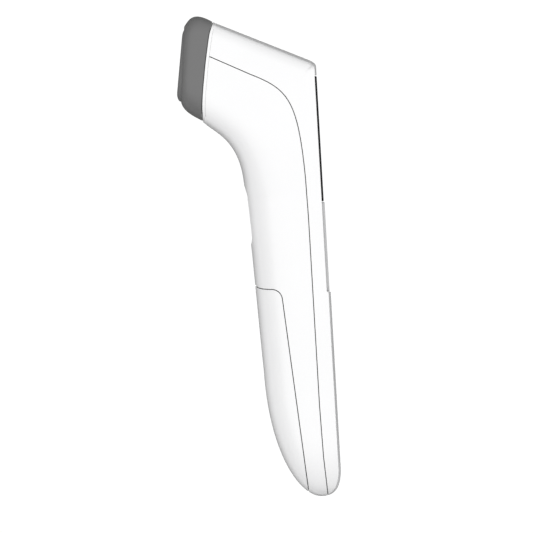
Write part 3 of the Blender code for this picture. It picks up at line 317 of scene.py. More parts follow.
def circuit_board(name, colour):
    """Solder mask over traces, with bare pads and a legend-free surface."""
    look = Look(name, coat_weight=0.3)
    _, y, z = look.axes()
    wander = look.noise(0.006, 1)
    run = ((y * 2400 + wander * 9).sine() + (z * 900 + wander * 4).sine() * 0.4).ramp(0.55, 0.8)
    spots = look.node("TexVoronoi", {}, {"Vector": look.place, "Scale": 420.0})
    pads = 1 - spots.ramp(0.16, 0.2)
    mask = look.blend(run, colour, shade(colour, 1.7))
    tone = look.blend(pads, mask, (0.62, 0.60, 0.55))
    relief = run * 0.5 + pads * 0.5
    return look.set(base_color=tone, metallic=pads * 0.9, roughness=0.38 - pads * 0.1,
                    normal=look.bump(relief, 0.00004))


def box_mask(look, y, z, centre, size, soft=0.00006):
    """1 inside a rectangle in the (y, z) plane, in metres."""
    far = (abs(y - centre[0]) - size[0] / 2).most(abs(z - centre[1]) - size[1] / 2)
    return 1 - far.ramp(-soft, soft)


def lens_look(finishes):
    """Black printed border round a tinted window with the display's segments behind it."""
    look = Look("lens_black_fine", specular_ior_level=0.15)
    _, y, z = look.axes()
    middle = (LENS_LOW + LENS_HIGH) / 2 * MM
    window = box_mask(look, y, z, (0, middle), (0.0235, 0.0290), 0.0004)
    haze = look.noise(0.009, 2)
    field = look.blend(haze, (0.115, 0.130, 0.112), (0.130, 0.146, 0.126))
    wide, tall, thick = 0.0042, 0.0088, 0.0011
    ink = None
    for place, lit in ((-0.0074, "abcdg"), (-0.0012, "acdefg"), (0.0062, "acdfg")):
        across, half = wide - thick, tall / 2
        bars = {"a": (0, half, across, thick), "d": (0, -half, across, thick), "g": (0, 0, across, thick),
                "b": (1, half / 2, thick, half - thick), "c": (1, -half / 2, thick, half - thick),
                "f": (-1, half / 2, thick, half - thick), "e": (-1, -half / 2, thick, half - thick)}
        for name in lit:
            side, lift, width, height = bars[name]
            spot = (place + side * wide / 2, middle + 0.002 + lift)
            bar = box_mask(look, y, z, spot, (width, height))
            ink = bar if ink is None else ink.most(bar)
    dot = box_mask(look, y, z, (0.0026, middle + 0.002 - tall / 2), (0.0011, 0.0011))
    ink = ink.most(dot)
    segments = look.blend(ink, field, (0.012, 0.014, 0.012))
    tone = look.blend(window, tuple(finishes.lens), segments)
    fine = look.noise(0.0004, 2)
    return look.set(base_color=tone, roughness=fine * 0.03 + 0.05, normal=look.bump(fine, 0.000001))


def cell_look(name):
    """Plain two-tone jacket with a bright end, shrunk tight."""
    look = Look(name, coat_weight=0.4)
    _, _, z = look.axes()
    wrap = look.noise(0.0015, 3, 0.5, (1, 1, 0.1))
    band = (z - 0.002).ramp(-0.0002, 0.0002)
    tone = look.blend(band, (0.015, 0.017, 0.024), (0.45, 0.28, 0.09))
    return look.set(base_color=tone, metallic=band * 0.5 + 0.3, roughness=wrap * 0.12 + 0.22,
                    normal=look.bump(wrap, 0.00002))


def film(name, colour):
    """Flexible circuit film with its row of conductors."""
    look = Look(name, coat_weight=0.5)
    _, y, _ = look.axes()
    wires = (y * 6300).sine().ramp(0.1, 0.5)
    tone = look.blend(wires, colour, (0.62, 0.36, 0.16))
    return look.set(base_color=tone, roughness=0.34 - wires * 0.06, normal=look.bump(wires, 0.00002))


def clear(name, colour, roughness=0.08):
    look = Look(name, coat_weight=0.6)
    depth = look.noise(0.002, 2)
    return look.set(base_color=look.blend(depth, colour, shade(colour, 1.25)),
                    roughness=depth * 0.05 + roughness)


def make_looks(finishes):
    return {
        "white": moulded("white_shell_fine", tuple(finishes.shell), 0.42, coat=0.8),
        "grey": moulded("grey_nose_fine", tuple(finishes.nose), 0.52, 0.0003, 0.00002),
        "lens": lens_look(finishes),
        "panel": moulded("panel_fine", tuple(finishes.panel), 0.38, 0.0003),
        "keys": rubber("key_rubber_fine", tuple(finishes.keys)),
        "button": moulded("button_fine", shade(finishes.shell, 0.94), 0.5, 0.0005, 0.00003),
        # Painted shade: a dark surface for the lips and strips under the seams and the gaps by the collar,
        # standing in for the shade inside them
        "shadow": moulded("seam_painted_shadow_fine", (0.07, 0.07, 0.07), 0.7),
        "inner": moulded("inner_white_fine", (0.78, 0.78, 0.75), 0.5),
        "black": moulded("black_moulding_fine", (0.016, 0.016, 0.017), 0.48, 0.0003, 0.00002),
        "rubber": rubber("seal_rubber_fine", (0.03, 0.03, 0.03)),
        "lcd": clear("display_glass_fine", (0.38, 0.43, 0.36)),
        "guide": clear("light_guide_fine", (0.80, 0.84, 0.82), 0.15),
        "chrome": metal("horn_chrome_fine", (0.83, 0.83, 0.84), 0.13),
        "steel": metal("plated_steel_fine", (0.58, 0.57, 0.55), 0.3),
        "brass": metal("turned_brass_fine", (0.72, 0.50, 0.20), 0.3, (1, 1, 6)),
        "filter": clear("infrared_filter_fine", (0.03, 0.03, 0.045), 0.05),
        "board": circuit_board("board_fine", tuple(finishes.board)),
        "film": film("ribbon_film_fine", (0.42, 0.19, 0.04)),
        "cell": cell_look("cell_jacket_fine"),
        "red": moulded("red_lead_fine", (0.50, 0.015, 0.012), 0.45),
    }


LOOKS = {}


# ---------------------------------------------------------------- outlines of the body

def quarter(count):
    """Angles of a quarter turn, evenly spread."""
    return np.linspace(0, math.pi / 2, count)


def bezier(start, pull, push, end, steps):
    t = (np.arange(steps) / steps)[:, None]
    s = 1 - t
    a, b, c, d = (np.array(p, float) for p in (start, pull, push, end))
    return [tuple(p) for p in s**3 * a + 3 * s * s * t * b + 3 * s * t * t * c + t**3 * d]


def from_nose(x, z):
    """Point in (x, z) counted from the foremost x and the height of the head."""
    return NOSE_X + x, HEAD_RISE + z


def front_outline():
    """Side view of the front, from the end of the tail up to the nose joint."""
    low = (BACK_X - LOWER_DEPTH, TAIL_Z + TAIL_CURVE)
    chin = (BACK_X - GRIP_DEPTH, CHIN_Z)
    joint = from_nose(*JOINT_FOOT)
    points = bezier((TAIL_X, TAIL_Z), (TAIL_X - 7.0, TAIL_Z), (low[0] + 0.4, low[1] - 27), low, 60)
    points += bezier(low, (low[0] - 1.0, low[1] + 20), (chin[0] + 1.4, chin[1] - 18), chin, 30)
    points += bezier(chin, (chin[0] - 1.0, chin[1] + 15), (joint[0] + 3.0, joint[1] - 4.0), joint, 60)
    return points + [joint]


def back_outline():
    """Side view of the back, from the end of the tail up to the nose joint."""
    heel = (BACK_X, TAIL_Z + 8.0)
    shelf = (BACK_X - LENS_DROP, SHELF_Z - 2.6)
    rise = math.tan(TOP_SLOPE)
    top = (BACK_X - 2.9, SHELF_Z + 0.4 - 1.6 * rise)
    joint_x = NOSE_X + 12.0
    points = bezier((TAIL_X, TAIL_Z), (TAIL_X + 4.4, TAIL_Z), (BACK_X - 0.4, heel[1] - 5.3), heel, 30)
    points += [heel, (BACK_X, PANEL_LOW - 0.2), (PLATE_X, PANEL_LOW), shelf]
    points += bezier(shelf, (shelf[0], SHELF_Z - 1.75), (top[0] + 1.3, top[1] - 1.3 * rise), top, 20)[1:]
    return points + [top, (joint_x, top[1] + (top[0] - joint_x) * rise)], shelf, top


def at_height(points, z):
    xs, zs = zip(*sorted(points, key=lambda p: p[1]))
    return float(np.interp(z, zs, xs))


def on_ray(points, angle):
    """Where a ray from FAN at this angle meets an outline."""
    ray = Vector((math.cos(angle), math.sin(angle)))
    for one, two in zip(points, points[1:]):
        one = Vector(one) - FAN
        two = Vector(two) - FAN
        before = ray.cross(one)
        after = ray.cross(two)
        if before <= 1e-9 and after > 1e-9 and one.dot(ray) > 0:
            return tuple(FAN + one.lerp(two, before / (before - after)))
    return points[-1]


def smooth(value, low, high):
    t = min(1.0, max(0.0, (value - low) / (high - low)))
    return t * t * (3 - 2 * t)


def half_width(z):
    width = LOWER_WIDTH + (GRIP_WIDTH - LOWER_WIDTH) * smooth(z, TAIL_Z + TAIL_ROUND, CHIN_Z - 15)
    width += (HEAD_WIDTH - GRIP_WIDTH) * smooth(z, CHIN_Z - 30, SHELF_Z - 4)
    closing = max(0.0, 1 - (z - TAIL_Z) / TAIL_ROUND)
    return width / 2 * (1 - closing**2.4) ** (1 / 2.4)


def side_fillet(z):
    """Rounding of the sides at this height: the top's rounding runs out on the back."""
    rise = min(max(z - (CREST_Z - TOP_FILLET), 0.0), TOP_FILLET)
    return max(BACK_FILLET, TOP_FILLET - math.sqrt(TOP_FILLET**2 - rise**2))


def body_stations():
    """Sections of the outer body, tail to nose: two ends, half width, depth, power, fillet, crown."""
    front = front_outline()
    back, shelf, top = back_outline()
    tail = [TAIL_Z + 28.5 * t**2.2 for t in np.linspace(0.03, 1, 30)]
    grip = np.linspace(tail[-1], FAN.y, 40)[1:-1]
    stations = []
    for z in sorted([*tail, *grip, PANEL_LOW - 0.2, PANEL_LOW]):
        ends = ((at_height(front, z), z), (at_height(back, z), z))
        stations.append((*ends, half_width(z), FRONT_ROUND, 2.2, BACK_FILLET, BACK_CROWN))
    spots = (from_nose(*JOINT_HEAD), shelf, top)
    last, starts, ends_at = (math.atan2(z - FAN.y, x - FAN.x) for x, z in spots)
    for angle in sorted([*np.linspace(0, last, 56), *np.linspace(starts - 0.07, ends_at, 26)]):
        share = angle / last
        width = half_width(on_ray(back, min(angle, starts))[1])
        width += (NOSE_WIDTH / 2 - width) * smooth(angle, starts, last)
        stations.append((on_ray(front, angle), on_ray(back, angle), width, FRONT_ROUND - 2 * share,
                         2.2 + 1.1 * share, side_fillet(on_ray(back, angle)[1]),
                         BACK_CROWN))
    return stations


def nose_stations():
    """Sections of the nose ring in front of the joint: it rounds in towards the face plate."""
    edges = []
    for knots in ((JOINT_FOOT, (3.0, -31.6), (0.8, -30.0), (0.4, -27.2)),
                  (JOINT_HEAD, (6.4, 1.4), (4.8, -0.2), (2.8, -3.2))):
        ends = [from_nose(*knot) for knot in knots]
        edges.append(bezier(*ends, NOSE_STEPS) + ends[3:])
    stations = []
    for step, (f, b) in enumerate(zip(*edges)):
        t = step / NOSE_STEPS
        narrow = (NOSE_WIDTH - FACE_WIDTH) / 2 * (1 - math.sqrt(1 - (t * t) ** 1.2 * 0.999))
        stations.append((f, b, NOSE_WIDTH / 2 - narrow, 12.0 - 2 * t, 3.3, TOP_FILLET + 1.5 * t, BACK_CROWN))
    return stations[1:]


def section(station, inset, shift, fineness):
    """One ring of the body: rounded front, flat sides, filleted and crowned back."""
    front, back, width, depth, power, fillet, crown = station
    front = Vector((front[0] + shift, 0, front[1]))
    back = Vector((back[0] + shift, 0, back[1]))
    along = (back - front).normalized()
    front = front + along * min(inset, (back - front).length * 0.3)
    back = back - along * min(inset, (back - front).length * 0.3)
    length = (back - front).length
    width = max(width - inset, 0.3 * width)
    depth = min(depth - inset, 0.6 * length)
    fillet = min(max(fillet - inset, 0.3), 0.3 * width, 0.25 * length)
    crown = min(crown, 0.1 * length)
    land = min(LAND, 0.4 * width)
    half = []
    for theta in quarter(fineness // 2):
        half.append((depth * (1 - abs(math.cos(theta)) ** (2 / power)),
                     width * abs(math.sin(theta)) ** (2 / power)))
    flat = length - crown - fillet
    for share in (0.33, 0.67):
        half.append((depth + (flat - depth) * share, width))
    for theta in quarter(fineness // 6):
        half.append((flat + fillet * math.sin(theta), width - fillet + fillet * math.cos(theta)))
    for y in np.linspace(width - fillet, land, fineness // 6)[1:]:
        over = (y - land) / (width - fillet - land)
        half.append((length - crown * over * over, y))
    whole = half + [(u, -y) for u, y in half[:0:-1]]
    return [front + along * u + Vector((0, y, 0)) for u, y in whole]


def loft(inset, fineness):
    """Closed mesh through every station, offset inwards."""
    stations = body_stations() + nose_stations()
    # A thick inset leaves out the first sections of the tail, which are too small for it
    skipped = 3 if inset > 0.5 else 0
    rings = []
    for index, station in enumerate(stations[skipped:], skipped):
        shift = inset * max(0.0, index - (len(stations) - NOSE_STEPS - 1)) / NOSE_STEPS
        rings.append(section(station, inset, shift, fineness))
    return stacked(rings)


# ---------------------------------------------------------------- mesh tools

def made(name, mesh):
    """Object from a bmesh in millimetres, its place in its mesh."""
    bmesh.ops.scale(mesh, verts=mesh.verts, vec=(MM,) * 3)
    bmesh.ops.recalc_face_normals(mesh, faces=mesh.faces)
    data = bpy.data.meshes.new(name)
    mesh.to_mesh(data)
    mesh.free()
    piece = bpy.data.objects.new(name, data)
    bpy.context.scene.collection.objects.link(piece)
    return piece


LESS, PLUS, WITHIN = "DIFFERENCE", "UNION", "INTERSECT"
HELPERS = []


def cutter(mesh):
    """Form that only Booleans use, until clear_helpers."""
    piece = made("cutter", mesh)
    piece.hide_render = True
    HELPERS.append(piece)
    return piece


def clear_helpers():
    while HELPERS:
        bpy.data.objects.remove(HELPERS.pop(), do_unlink=True)


def coated(piece, look):
    """Gives a form its material before a Boolean carries it into a piece."""
    piece.data.materials.append(LOOKS[look])
    return piece


def cut(piece, *steps):
    """Applies Booleans in turn and drops their modifiers."""
    for operation, other in steps:
        step = piece.modifiers.new(operation, "BOOLEAN")
        step.operation = operation
        step.solver = "MANIFOLD"
        step.material_mode = "TRANSFER"
        step.object = other
    settle(piece)
    return piece


def settle(piece):
    """Replaces a piece's mesh by its evaluated one and drops its modifiers."""
    bpy.context.view_layer.update()
    graph = bpy.context.evaluated_depsgraph_get()
    fresh = bpy.data.meshes.new_from_object(piece.evaluated_get(graph))
    piece.modifiers.clear()
    old = piece.data
    piece.data = fresh
    bpy.data.meshes.remove(old)
    if not len(fresh.polygons):
        raise RuntimeError(f"{piece.name} lost its shape")


def finish_piece(piece, look, nodes, body="handset"):
    """Shades a piece, gives it its material and its body, and hides the nodes it stands for."""
    if not any(piece.data.materials):
        piece.data.materials.clear()
        piece.data.materials.append(LOOKS[look])
    piece.data.shade_smooth()
    piece.data.set_sharp_from_angle(angle=SHARP)
    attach(piece, body)
    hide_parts(*nodes)


def extruded(outline, low, high, axis="Y"):
    """Outline in (x, z) along Y, or in (y, z) along X."""
    mesh = bmesh.new()
    if axis == "Y":
        verts = [mesh.verts.new((a, low, b)) for a, b in outline]
        step = (0, high - low, 0)
    else:
        verts = [mesh.verts.new((low, a, b)) for a, b in outline]
        step = (high - low, 0, 0)
    face = mesh.faces.new(verts)
    raised = bmesh.ops.extrude_face_region(mesh, geom=[face])["geom"]
    bmesh.ops.translate(mesh, verts=[v for v in raised if isinstance(v, bmesh.types.BMVert)], vec=step)
    bmesh.ops.triangulate(mesh, faces=[f for f in mesh.faces if len(f.verts) > 4])
    return mesh


def wedge(outline, reach):
    """Cutter with this outline in the side view, to either side of the middle."""
    return cutter(extruded(outline, -reach, reach))


def boxed(low, high, matrix=None):
    mesh = bmesh.new()
    bmesh.ops.create_cube(mesh, size=1)
    low, high = Vector(low), Vector(high)
    bmesh.ops.scale(mesh, verts=mesh.verts, vec=high - low)
    bmesh.ops.translate(mesh, verts=mesh.verts, vec=(low + high) / 2)
    if matrix:
        bmesh.ops.transform(mesh, matrix=matrix, verts=mesh.verts)
    return mesh


def turned(profile, matrix, steps=96):
    """Closed (radius, height) profile spun about the matrix's Z axis."""
    mesh = bmesh.new()
    verts = [mesh.verts.new((r, 0, h)) for r, h in profile]
    edges = [mesh.edges.new((a, b)) for a, b in zip(verts, verts[1:] + verts[:1])]
    bmesh.ops.spin(mesh, geom=verts + edges, axis=(0, 0, 1), cent=(0, 0, 0), steps=steps,
                   angle=2 * math.pi, use_merge=True)
    bmesh.ops.remove_doubles(mesh, verts=mesh.verts, dist=1e-5)
    bmesh.ops.delete(mesh, geom=[e for e in mesh.edges if not e.link_faces], context="EDGES")
    bmesh.ops.transform(mesh, matrix=matrix, verts=mesh.verts)
    return mesh


def walled(rings):
    """Mesh through rings of points, capped at its foot, with the rings of its vertices."""
    mesh = bmesh.new()
    walls = [[mesh.verts.new(p) for p in ring] for ring in rings]
    for one, two in zip(walls, walls[1:]):
        for i in range(len(one)):
            j = (i + 1) % len(one)
            mesh.faces.new((one[i], one[j], two[j], two[i]))
    mesh.faces.new(list(reversed(walls[0])))
    return mesh, walls


def stacked(rings):
    """Closed mesh through rings of points."""
    mesh, walls = walled(rings)
    mesh.faces.new(walls[-1])
    return mesh


def offset(points, distance):
    """Polyline moved to its left."""
    moved = []
    for i, point in enumerate(points):
        before = Vector(points[max(i - 1, 0)])
        after = Vector(points[min(i + 1, len(points) - 1)])
        along = (after - before).normalized()
        moved.append((point[0] - along.y * distance, point[1] + along.x * distance))
    return moved


def crossing(one, two):
    """Where two polylines cross, and the rest of each on either side."""
    for i, (a, b) in enumerate(zip(one, one[1:])):
        for j, (c, d) in enumerate(zip(two, two[1:])):
            across = Vector(b) - Vector(a)
            along = Vector(d) - Vector(c)
            slant = across.cross(along)
            if abs(slant) < 1e-9:
                continue
            s = (Vector(c) - Vector(a)).cross(along) / slant
            t = (Vector(c) - Vector(a)).cross(across) / slant
            if 0 <= s <= 1 and 0 <= t <= 1:
                return tuple(Vector(a).lerp(Vector(b), s)), one[:i + 1], one[i + 1:], two[j + 1:]
    raise RuntimeError("the seam misses the collar")


def rounded(width, height, radius, centre_z, steps=14):
    """Rounded rectangle in (y, z)."""
    outline = []
    for quarter, (sy, sz) in enumerate(((1, 1), (-1, 1), (-1, -1), (1, -1))):
        for angle in np.linspace(quarter, quarter + 1, steps + 1) * math.pi / 2:
            outline.append((sy * (width / 2 - radius) + radius * math.cos(angle),
                            centre_z + sz * (height / 2 - radius) + radius * math.sin(angle)))
    return outline


def back_plate(low, high, margin, foot, head):
    """Outline in (y, z) that follows the sides of the housing at a margin, with its corners' radii."""
    half = []
    for angle in quarter(12):
        half.append((foot * (1 - math.sin(angle)), low + foot * (1 - math.cos(angle))))
    half += [(0, z) for z in np.linspace(low + foot, high - head, 16)[1:-1]]
    for angle in quarter(12):
        half.append((head * (1 - math.cos(angle)), high - head * (1 - math.sin(angle))))
    right = [(half_width(z) - margin - inward, z) for inward, z in half]
    return right + [(-y, z) for y, z in reversed(right)]


# ---------------------------------------------------------------- seams in the side view

def joint_line(shift):
    """Front edge of the collar, from below the chin to above the head."""
    foot = from_nose(7.15, -33.1)
    steps = [(0.3, -12.0), (0, 0), (0.05, 4.0), (0.55, 8.7), (1.85, 17.4), (2.9, 23.1), (3.45, 26.0),
             (3.9, 27.9), (4.25, 28.9), (4.8, 29.8), (5.1, 30.8), (7.0, 36.0)]
    knots = [(foot[0] + x, foot[1] + z) for x, z in steps]
    zs = np.linspace(knots[0][1], knots[-1][1], 90)
    xs = np.interp(zs, [k[1] for k in knots], [k[0] for k in knots])
    softened = np.convolve(np.pad(xs, 3, mode="edge"), np.ones(7) / 7, mode="valid")
    return [(float(x) + shift, float(z)) for x, z in zip(softened, zs)]


def shell_seam():
    """Parting line between the housings, from the collar down to the tail."""
    bend = from_nose(23.2, -19.7)
    side = (BACK_X - 6.05, CHIN_Z + 0.5)
    curve = bezier(bend, (bend[0] + 12.1, bend[1] - 5.5), (side[0] - 1.1, side[1] + 25.2), side, 40)
    return [from_nose(6.0, -11.0), *curve, side, (BACK_X - 5.8, CHIN_Z - 13), (BACK_X - 5.7, TAIL_Z + 29),
            (BACK_X - 5.35, TAIL_Z + 12.7), (BACK_X - 4.4, TAIL_Z - 3.0)]


def between(front, back):
    """Outline of the band between two lines like the collar's front edge."""
    return joint_line(front)[::-1] + joint_line(back)


def strip(points, thick):
    """Outline of a band of even thickness along a polyline."""
    return offset(points, thick / 2) + list(reversed(offset(points, -thick / 2)))


def door_seam(shift=0.0):
    """Edge of the battery door, from outside the grip, round its corner, down to the tail."""
    along = Vector((math.sin(DOOR_TILT), -math.cos(DOOR_TILT)))
    across = Vector((math.cos(DOOR_TILT), math.sin(DOOR_TILT)))
    corner = Vector((BACK_X - 16.0, DOOR_Z - 0.3))
    inner = corner - across * DOOR_CORNER + along * DOOR_CORNER
    points = [corner + Vector(p) for p in ((-30, 3.0), (-10, 2.4), (-8.1, 1.3), (-7.2, 0.45), (-5.9, 0.05))]
    for angle in quarter(16):
        points.append(inner - along * DOOR_CORNER * math.cos(angle) + across * DOOR_CORNER * math.sin(angle))
    points.append(corner + along * 82)
    return offset([tuple(p) for p in points], shift)


# ---------------------------------------------------------------- operators

class THERMOMETER_OT_finishes(bpy.types.Operator):
    """Make every material"""
    bl_idname = "thermometer.finishes"
    bl_label = "Finishes"

    def execute(self, context):
        LOOKS.update(make_looks(context.scene.thermometer_finishes))
        return {"FINISHED"}


def bay_matrix():
    """Frame of the battery bay: its origin on the cells' plane at the top, Z along the cells."""
    cell = corner_of("cell_left")
    tilt = Matrix.Rotation(-DOOR_TILT, 4, "Y")
    return Matrix.Translation((-3.0, 0, cell[1].z + 0.7)) @ tilt


class THERMOMETER_OT_housings(bpy.types.Operator):
    """Make the two shells of the body and the battery door"""
    bl_idname = "thermometer.housings"
    bl_label = "Housings and door"

    def execute(self, context):
        sizes = context.scene.thermometer_sizes
        fine = sizes.fineness
        gap = sizes.seam / MM
        inside = cutter(loft(WALL, fine))
        behind, ahead = BACK_X + 40, NOSE_X - 60
        around = [(behind, TAIL_Z - 20), (behind, HEAD_RISE + 20)]
        collar_back = joint_line(COLLAR_SHOW + sizes.collar_seam / MM)
        point, _, above, seam = crossing(collar_back, offset(shell_seam(), gap / 2))
        rear_side = wedge(above[::-1] + [point] + seam + around, 60)
        point, below, _, seam = crossing(collar_back, offset(shell_seam(), -gap / 2))
        front_side = wedge(below + [point] + seam + [(ahead, seam[-1][1]), (ahead, below[0][1])], 59)
        clear_of = joint_line(COLLAR_SHOW + 3.4)[::-1]
        behind_collar = wedge(clear_of + [(clear_of[-1][0], TAIL_Z - 20)] + around, 54)
        outside = [(ahead, TAIL_Z - 30), (ahead, DOOR_Z + 6)]
        door_hole = wedge(door_seam(gap / 2) + outside, 59)
        door_side = wedge(door_seam(-gap / 2) + outside, 58)

        rear = made("rear_shell", loft(0, fine))
        recess = cutter(boxed((BACK_X - RIM_DROP, -60, PANEL_LOW), (BACK_X + 9, 60, LENS_HIGH)))
        outline = back_plate(PANEL_LOW + 0.3, LENS_HIGH, PLATE_MARGIN - 0.2, 3.0, 3.0)
        pocket = cutter(extruded(outline, PLATE_BACK - 0.3, BACK_X + 9, "X"))
        middle = (LENS_LOW + LENS_HIGH) / 2
        window = cutter(extruded(rounded(26, 31, 2, middle, 4), PLATE_BACK - 5, BACK_X, "X"))
        solid = cutter(boxed((PLATE_BACK - 1.4, -15, PANEL_LOW + 2), (BACK_X, 15, LENS_HIGH - 4)))
        # A lip under each seam closes the line of sight, and the shell over it is thinned. The lip and a thin
        # dark strip in the gap carry the shadow material: painted shade inside each seam.
        lips, rebates = [], []
        for line in (shell_seam(), door_seam()):
            painted_seam_shadow = coated(cutter(loft(SEAM_SHADOW_DEPTH, fine)), "shadow")
            cut(painted_seam_shadow, (WITHIN, wedge(strip(line, gap - 0.06), 53)))
            lip = coated(cutter(loft(LIP_DEPTH, fine)), "shadow")
            cut(lip, (WITHIN, wedge(strip(line, 2 * LIP), 56)), (PLUS, painted_seam_shadow), (LESS, inside))
            lips.append(lip)
            rebate = cutter(loft(LIP_DEPTH - 0.12, fine))
            rebates.append(cut(rebate, (WITHIN, wedge(strip(line, 2 * LIP + 0.4), 55))))
        cut(lips[0], (WITHIN, behind_collar))
        cut(rear, (LESS, inside), (WITHIN, rear_side), (LESS, rebates[0]), (PLUS, solid),
            (LESS, recess), (LESS, pocket), (LESS, window))
        finish_piece(rear, "white", ["rear_housing"])

        front = coated(made("front_shell", loft(0, fine)), "white")
        button = rounded(BUTTON_WIDTH + 2 * BUTTON_GAP, BUTTON_HEIGHT + 2 * BUTTON_GAP,
                         BUTTON_ROUND + BUTTON_GAP, centre_of("measure_button").z)
        opening = cutter(extruded(button, NOSE_X - 10, -4, "X"))
        bay = bay_matrix()
        tray = cutter(boxed((2.0, -12.55, -50.7), (6.75, 12.55, 1.2), bay))
        bay_room = cutter(boxed((-30, -11.0, -49.5), (5.5, 11.0, 0), bay))
        cut(tray, (LESS, bay_room), (WITHIN, cutter(loft(WALL / 2, fine))))
        cut(front, (LESS, inside), (WITHIN, front_side), (LESS, door_hole),
            (PLUS, lips[0]), (PLUS, lips[1]), (PLUS, tray), (LESS, opening))
        finish_piece(front, "white", ["front_housing"])

        door = made("door_cover", loft(0, fine))
        cut(door, (LESS, inside), (WITHIN, door_side), (LESS, rebates[1]))
        finish_piece(door, "white", ["battery_door"], "door")
        clear_helpers()
        return {"FINISHED"}


def nose_matrix():
    """Frame of the sensor's axis: its origin on the face plate's front, Z looking out of it."""
    spot = Vector((NOSE_X + 0.65, 0, HEAD_RISE - 15.2))
    return Matrix.Translation(spot) @ Matrix.Rotation(NOSE_TILT - math.pi / 2, 4, "Y")


def squircle(height, width, level, matrix, steps=112):
    """Ring of a rounded rectangle across the sensor's axis."""
    points = []
    for angle in np.arange(steps) / steps * 2 * math.pi:
        c, s = math.cos(angle), math.sin(angle)
        points.append(matrix @ Vector((height * math.copysign(abs(c) ** (2 / 3), c),
                                       width * math.copysign(abs(s) ** (2 / 3), s), level)))
    return points


class THERMOMETER_OT_nose(bpy.types.Operator):
    """Make the grey nose ring, the white collar, the face plate and the bright horn"""
    bl_idname = "thermometer.nose"
    bl_label = "Nose"

    def execute(self, context):
        fine = context.scene.thermometer_sizes.fineness
        axis = nose_matrix()
        tall, wide = FACE_HEIGHT / 2, FACE_WIDTH / 2
        inside = cutter(loft(WALL, fine))
        far = [(NOSE_X - 40, HEAD_RISE + 40), (NOSE_X - 40, 0)]
        ahead = wedge(joint_line(-NOSE_GAP) + far, 57)
        mouth = cutter(stacked([squircle(tall + 0.12, wide + 0.12, z, axis) for z in (-12, 12)]))
        ring = made("nose_shell", loft(0, fine))
        cut(ring, (LESS, inside), (WITHIN, ahead), (LESS, mouth))
        finish_piece(ring, "grey", ["nose_ring"])

        # Dark steps in the shadow material fill the gaps in front of and behind the white band: painted shade
        # in the gaps
        dark = []
        for inset, line, reach in ((WALL + 0.3, between(-3.0, COLLAR_SHOW + 3.0), 55),
                                   (NOSE_GAP, between(0.02 - NOSE_GAP, 0.4), 54.5)):
            dark.append(cut(coated(cutter(loft(inset, fine)), "shadow"), (WITHIN, wedge(line, reach))))
        band = wedge(between(0, COLLAR_SHOW), 56)
        hollow = cutter(loft(WALL + 1.3, fine))
        collar = coated(made("collar_band", loft(0, fine)), "white")
        cut(collar, (WITHIN, band), (PLUS, dark[0]), (PLUS, dark[1]), (LESS, hollow))
        finish_piece(collar, "white", ["collar_ring"])

        rings = [squircle(tall, wide, -3.4, axis)]
        for angle in quarter(14)[::-1]:
            grow = -FACE_ROUND * (1 - math.sin(angle))
            rings.append(squircle(tall + grow, wide + grow, -FACE_ROUND_DEPTH * (1 - math.cos(angle)), axis))
        plate = made("face_shield", stacked(rings))
        bore = [(0, 1), (10.6, 1), (10.4, 0.05), (9.7, -0.15), (8.4, -1.2), (8.2, -2.0), (8.2, -8), (0, -8)]
        hole = cutter(turned(bore, axis))
        cut(plate, (LESS, hole))
        finish_piece(plate, "grey", ["face_plate"])

        curve = bezier((7.4, -1.2), (5.8, -5), (4.0, -8), (3.4, -11.5), 24) + [(3.4, -11.5)]
        horn = [(7.55, -1.1), (7.8, -1.02), (8.05, -1.1), (8.15, -1.3), (8.15, -2.6)]
        horn += [(r + 0.7, z - 0.3) for r, z in curve[4:-2]] + [(4.2, -11.5)] + list(reversed(curve))
        piece = made("bright_horn", turned(horn, axis))
        finish_piece(piece, "chrome", ["sensor_horn"])
        clear_helpers()
        return {"FINISHED"}


KEYS = {"mode_button": "mode_key", "memory_button": "memory_key", "sound_button": "sound_key"}


def key_place(node):
    """Radius of a key and the frame of its axis, Z looking out of the back."""
    low, high = corner_of(node)
    middle = centre_of(node)
    return (high.y - low.y) / 2, Matrix.Translation((0, middle.y, middle.z)) @ FACING_BACK


def crowned_plate(name, low, high, drop, foot, head, edge):
    """Plate over the back's recess: its face follows the crown and its edge is rounded over."""

    def face(y):
        spread = max(0.0, abs(y) - LAND) / (HEAD_WIDTH / 2 - LAND)
        return BACK_X - drop - PLATE_CROWN * spread ** 2

    def outline(inward):
        return back_plate(low + inward, high - inward, PLATE_MARGIN + inward, foot - inward, head - inward)

    rings = [[(PLATE_BACK, y, z) for y, z in outline(0.0)]]
    for angle in quarter(7):
        sunk = edge * (1 - math.sin(angle))
        rings.append([(face(y) - sunk, y, z) for y, z in outline(edge * (1 - math.cos(angle)))])
    mesh, walls = walled(rings)
    # The face is closed with rows across, so that it keeps its crown
    top = walls[-1]
    across = 18
    rows = []
    for right, left in zip(top[:len(top) // 2], reversed(top)):
        row = [right]
        for k in range(1, across):
            p = right.co.lerp(left.co, k / across)
            p.x = face(p.y)
            row.append(mesh.verts.new(p))
        rows.append(row + [left])
    for one, two in zip(rows, rows[1:]):
        for k in range(across):
            mesh.faces.new((one[k], one[k + 1], two[k + 1], two[k]))
    for row in (rows[0], rows[-1]):
        if (row[0].co - row[-1].co).length > 1e-6:
            mesh.faces.new(row)
    return made(name, mesh)


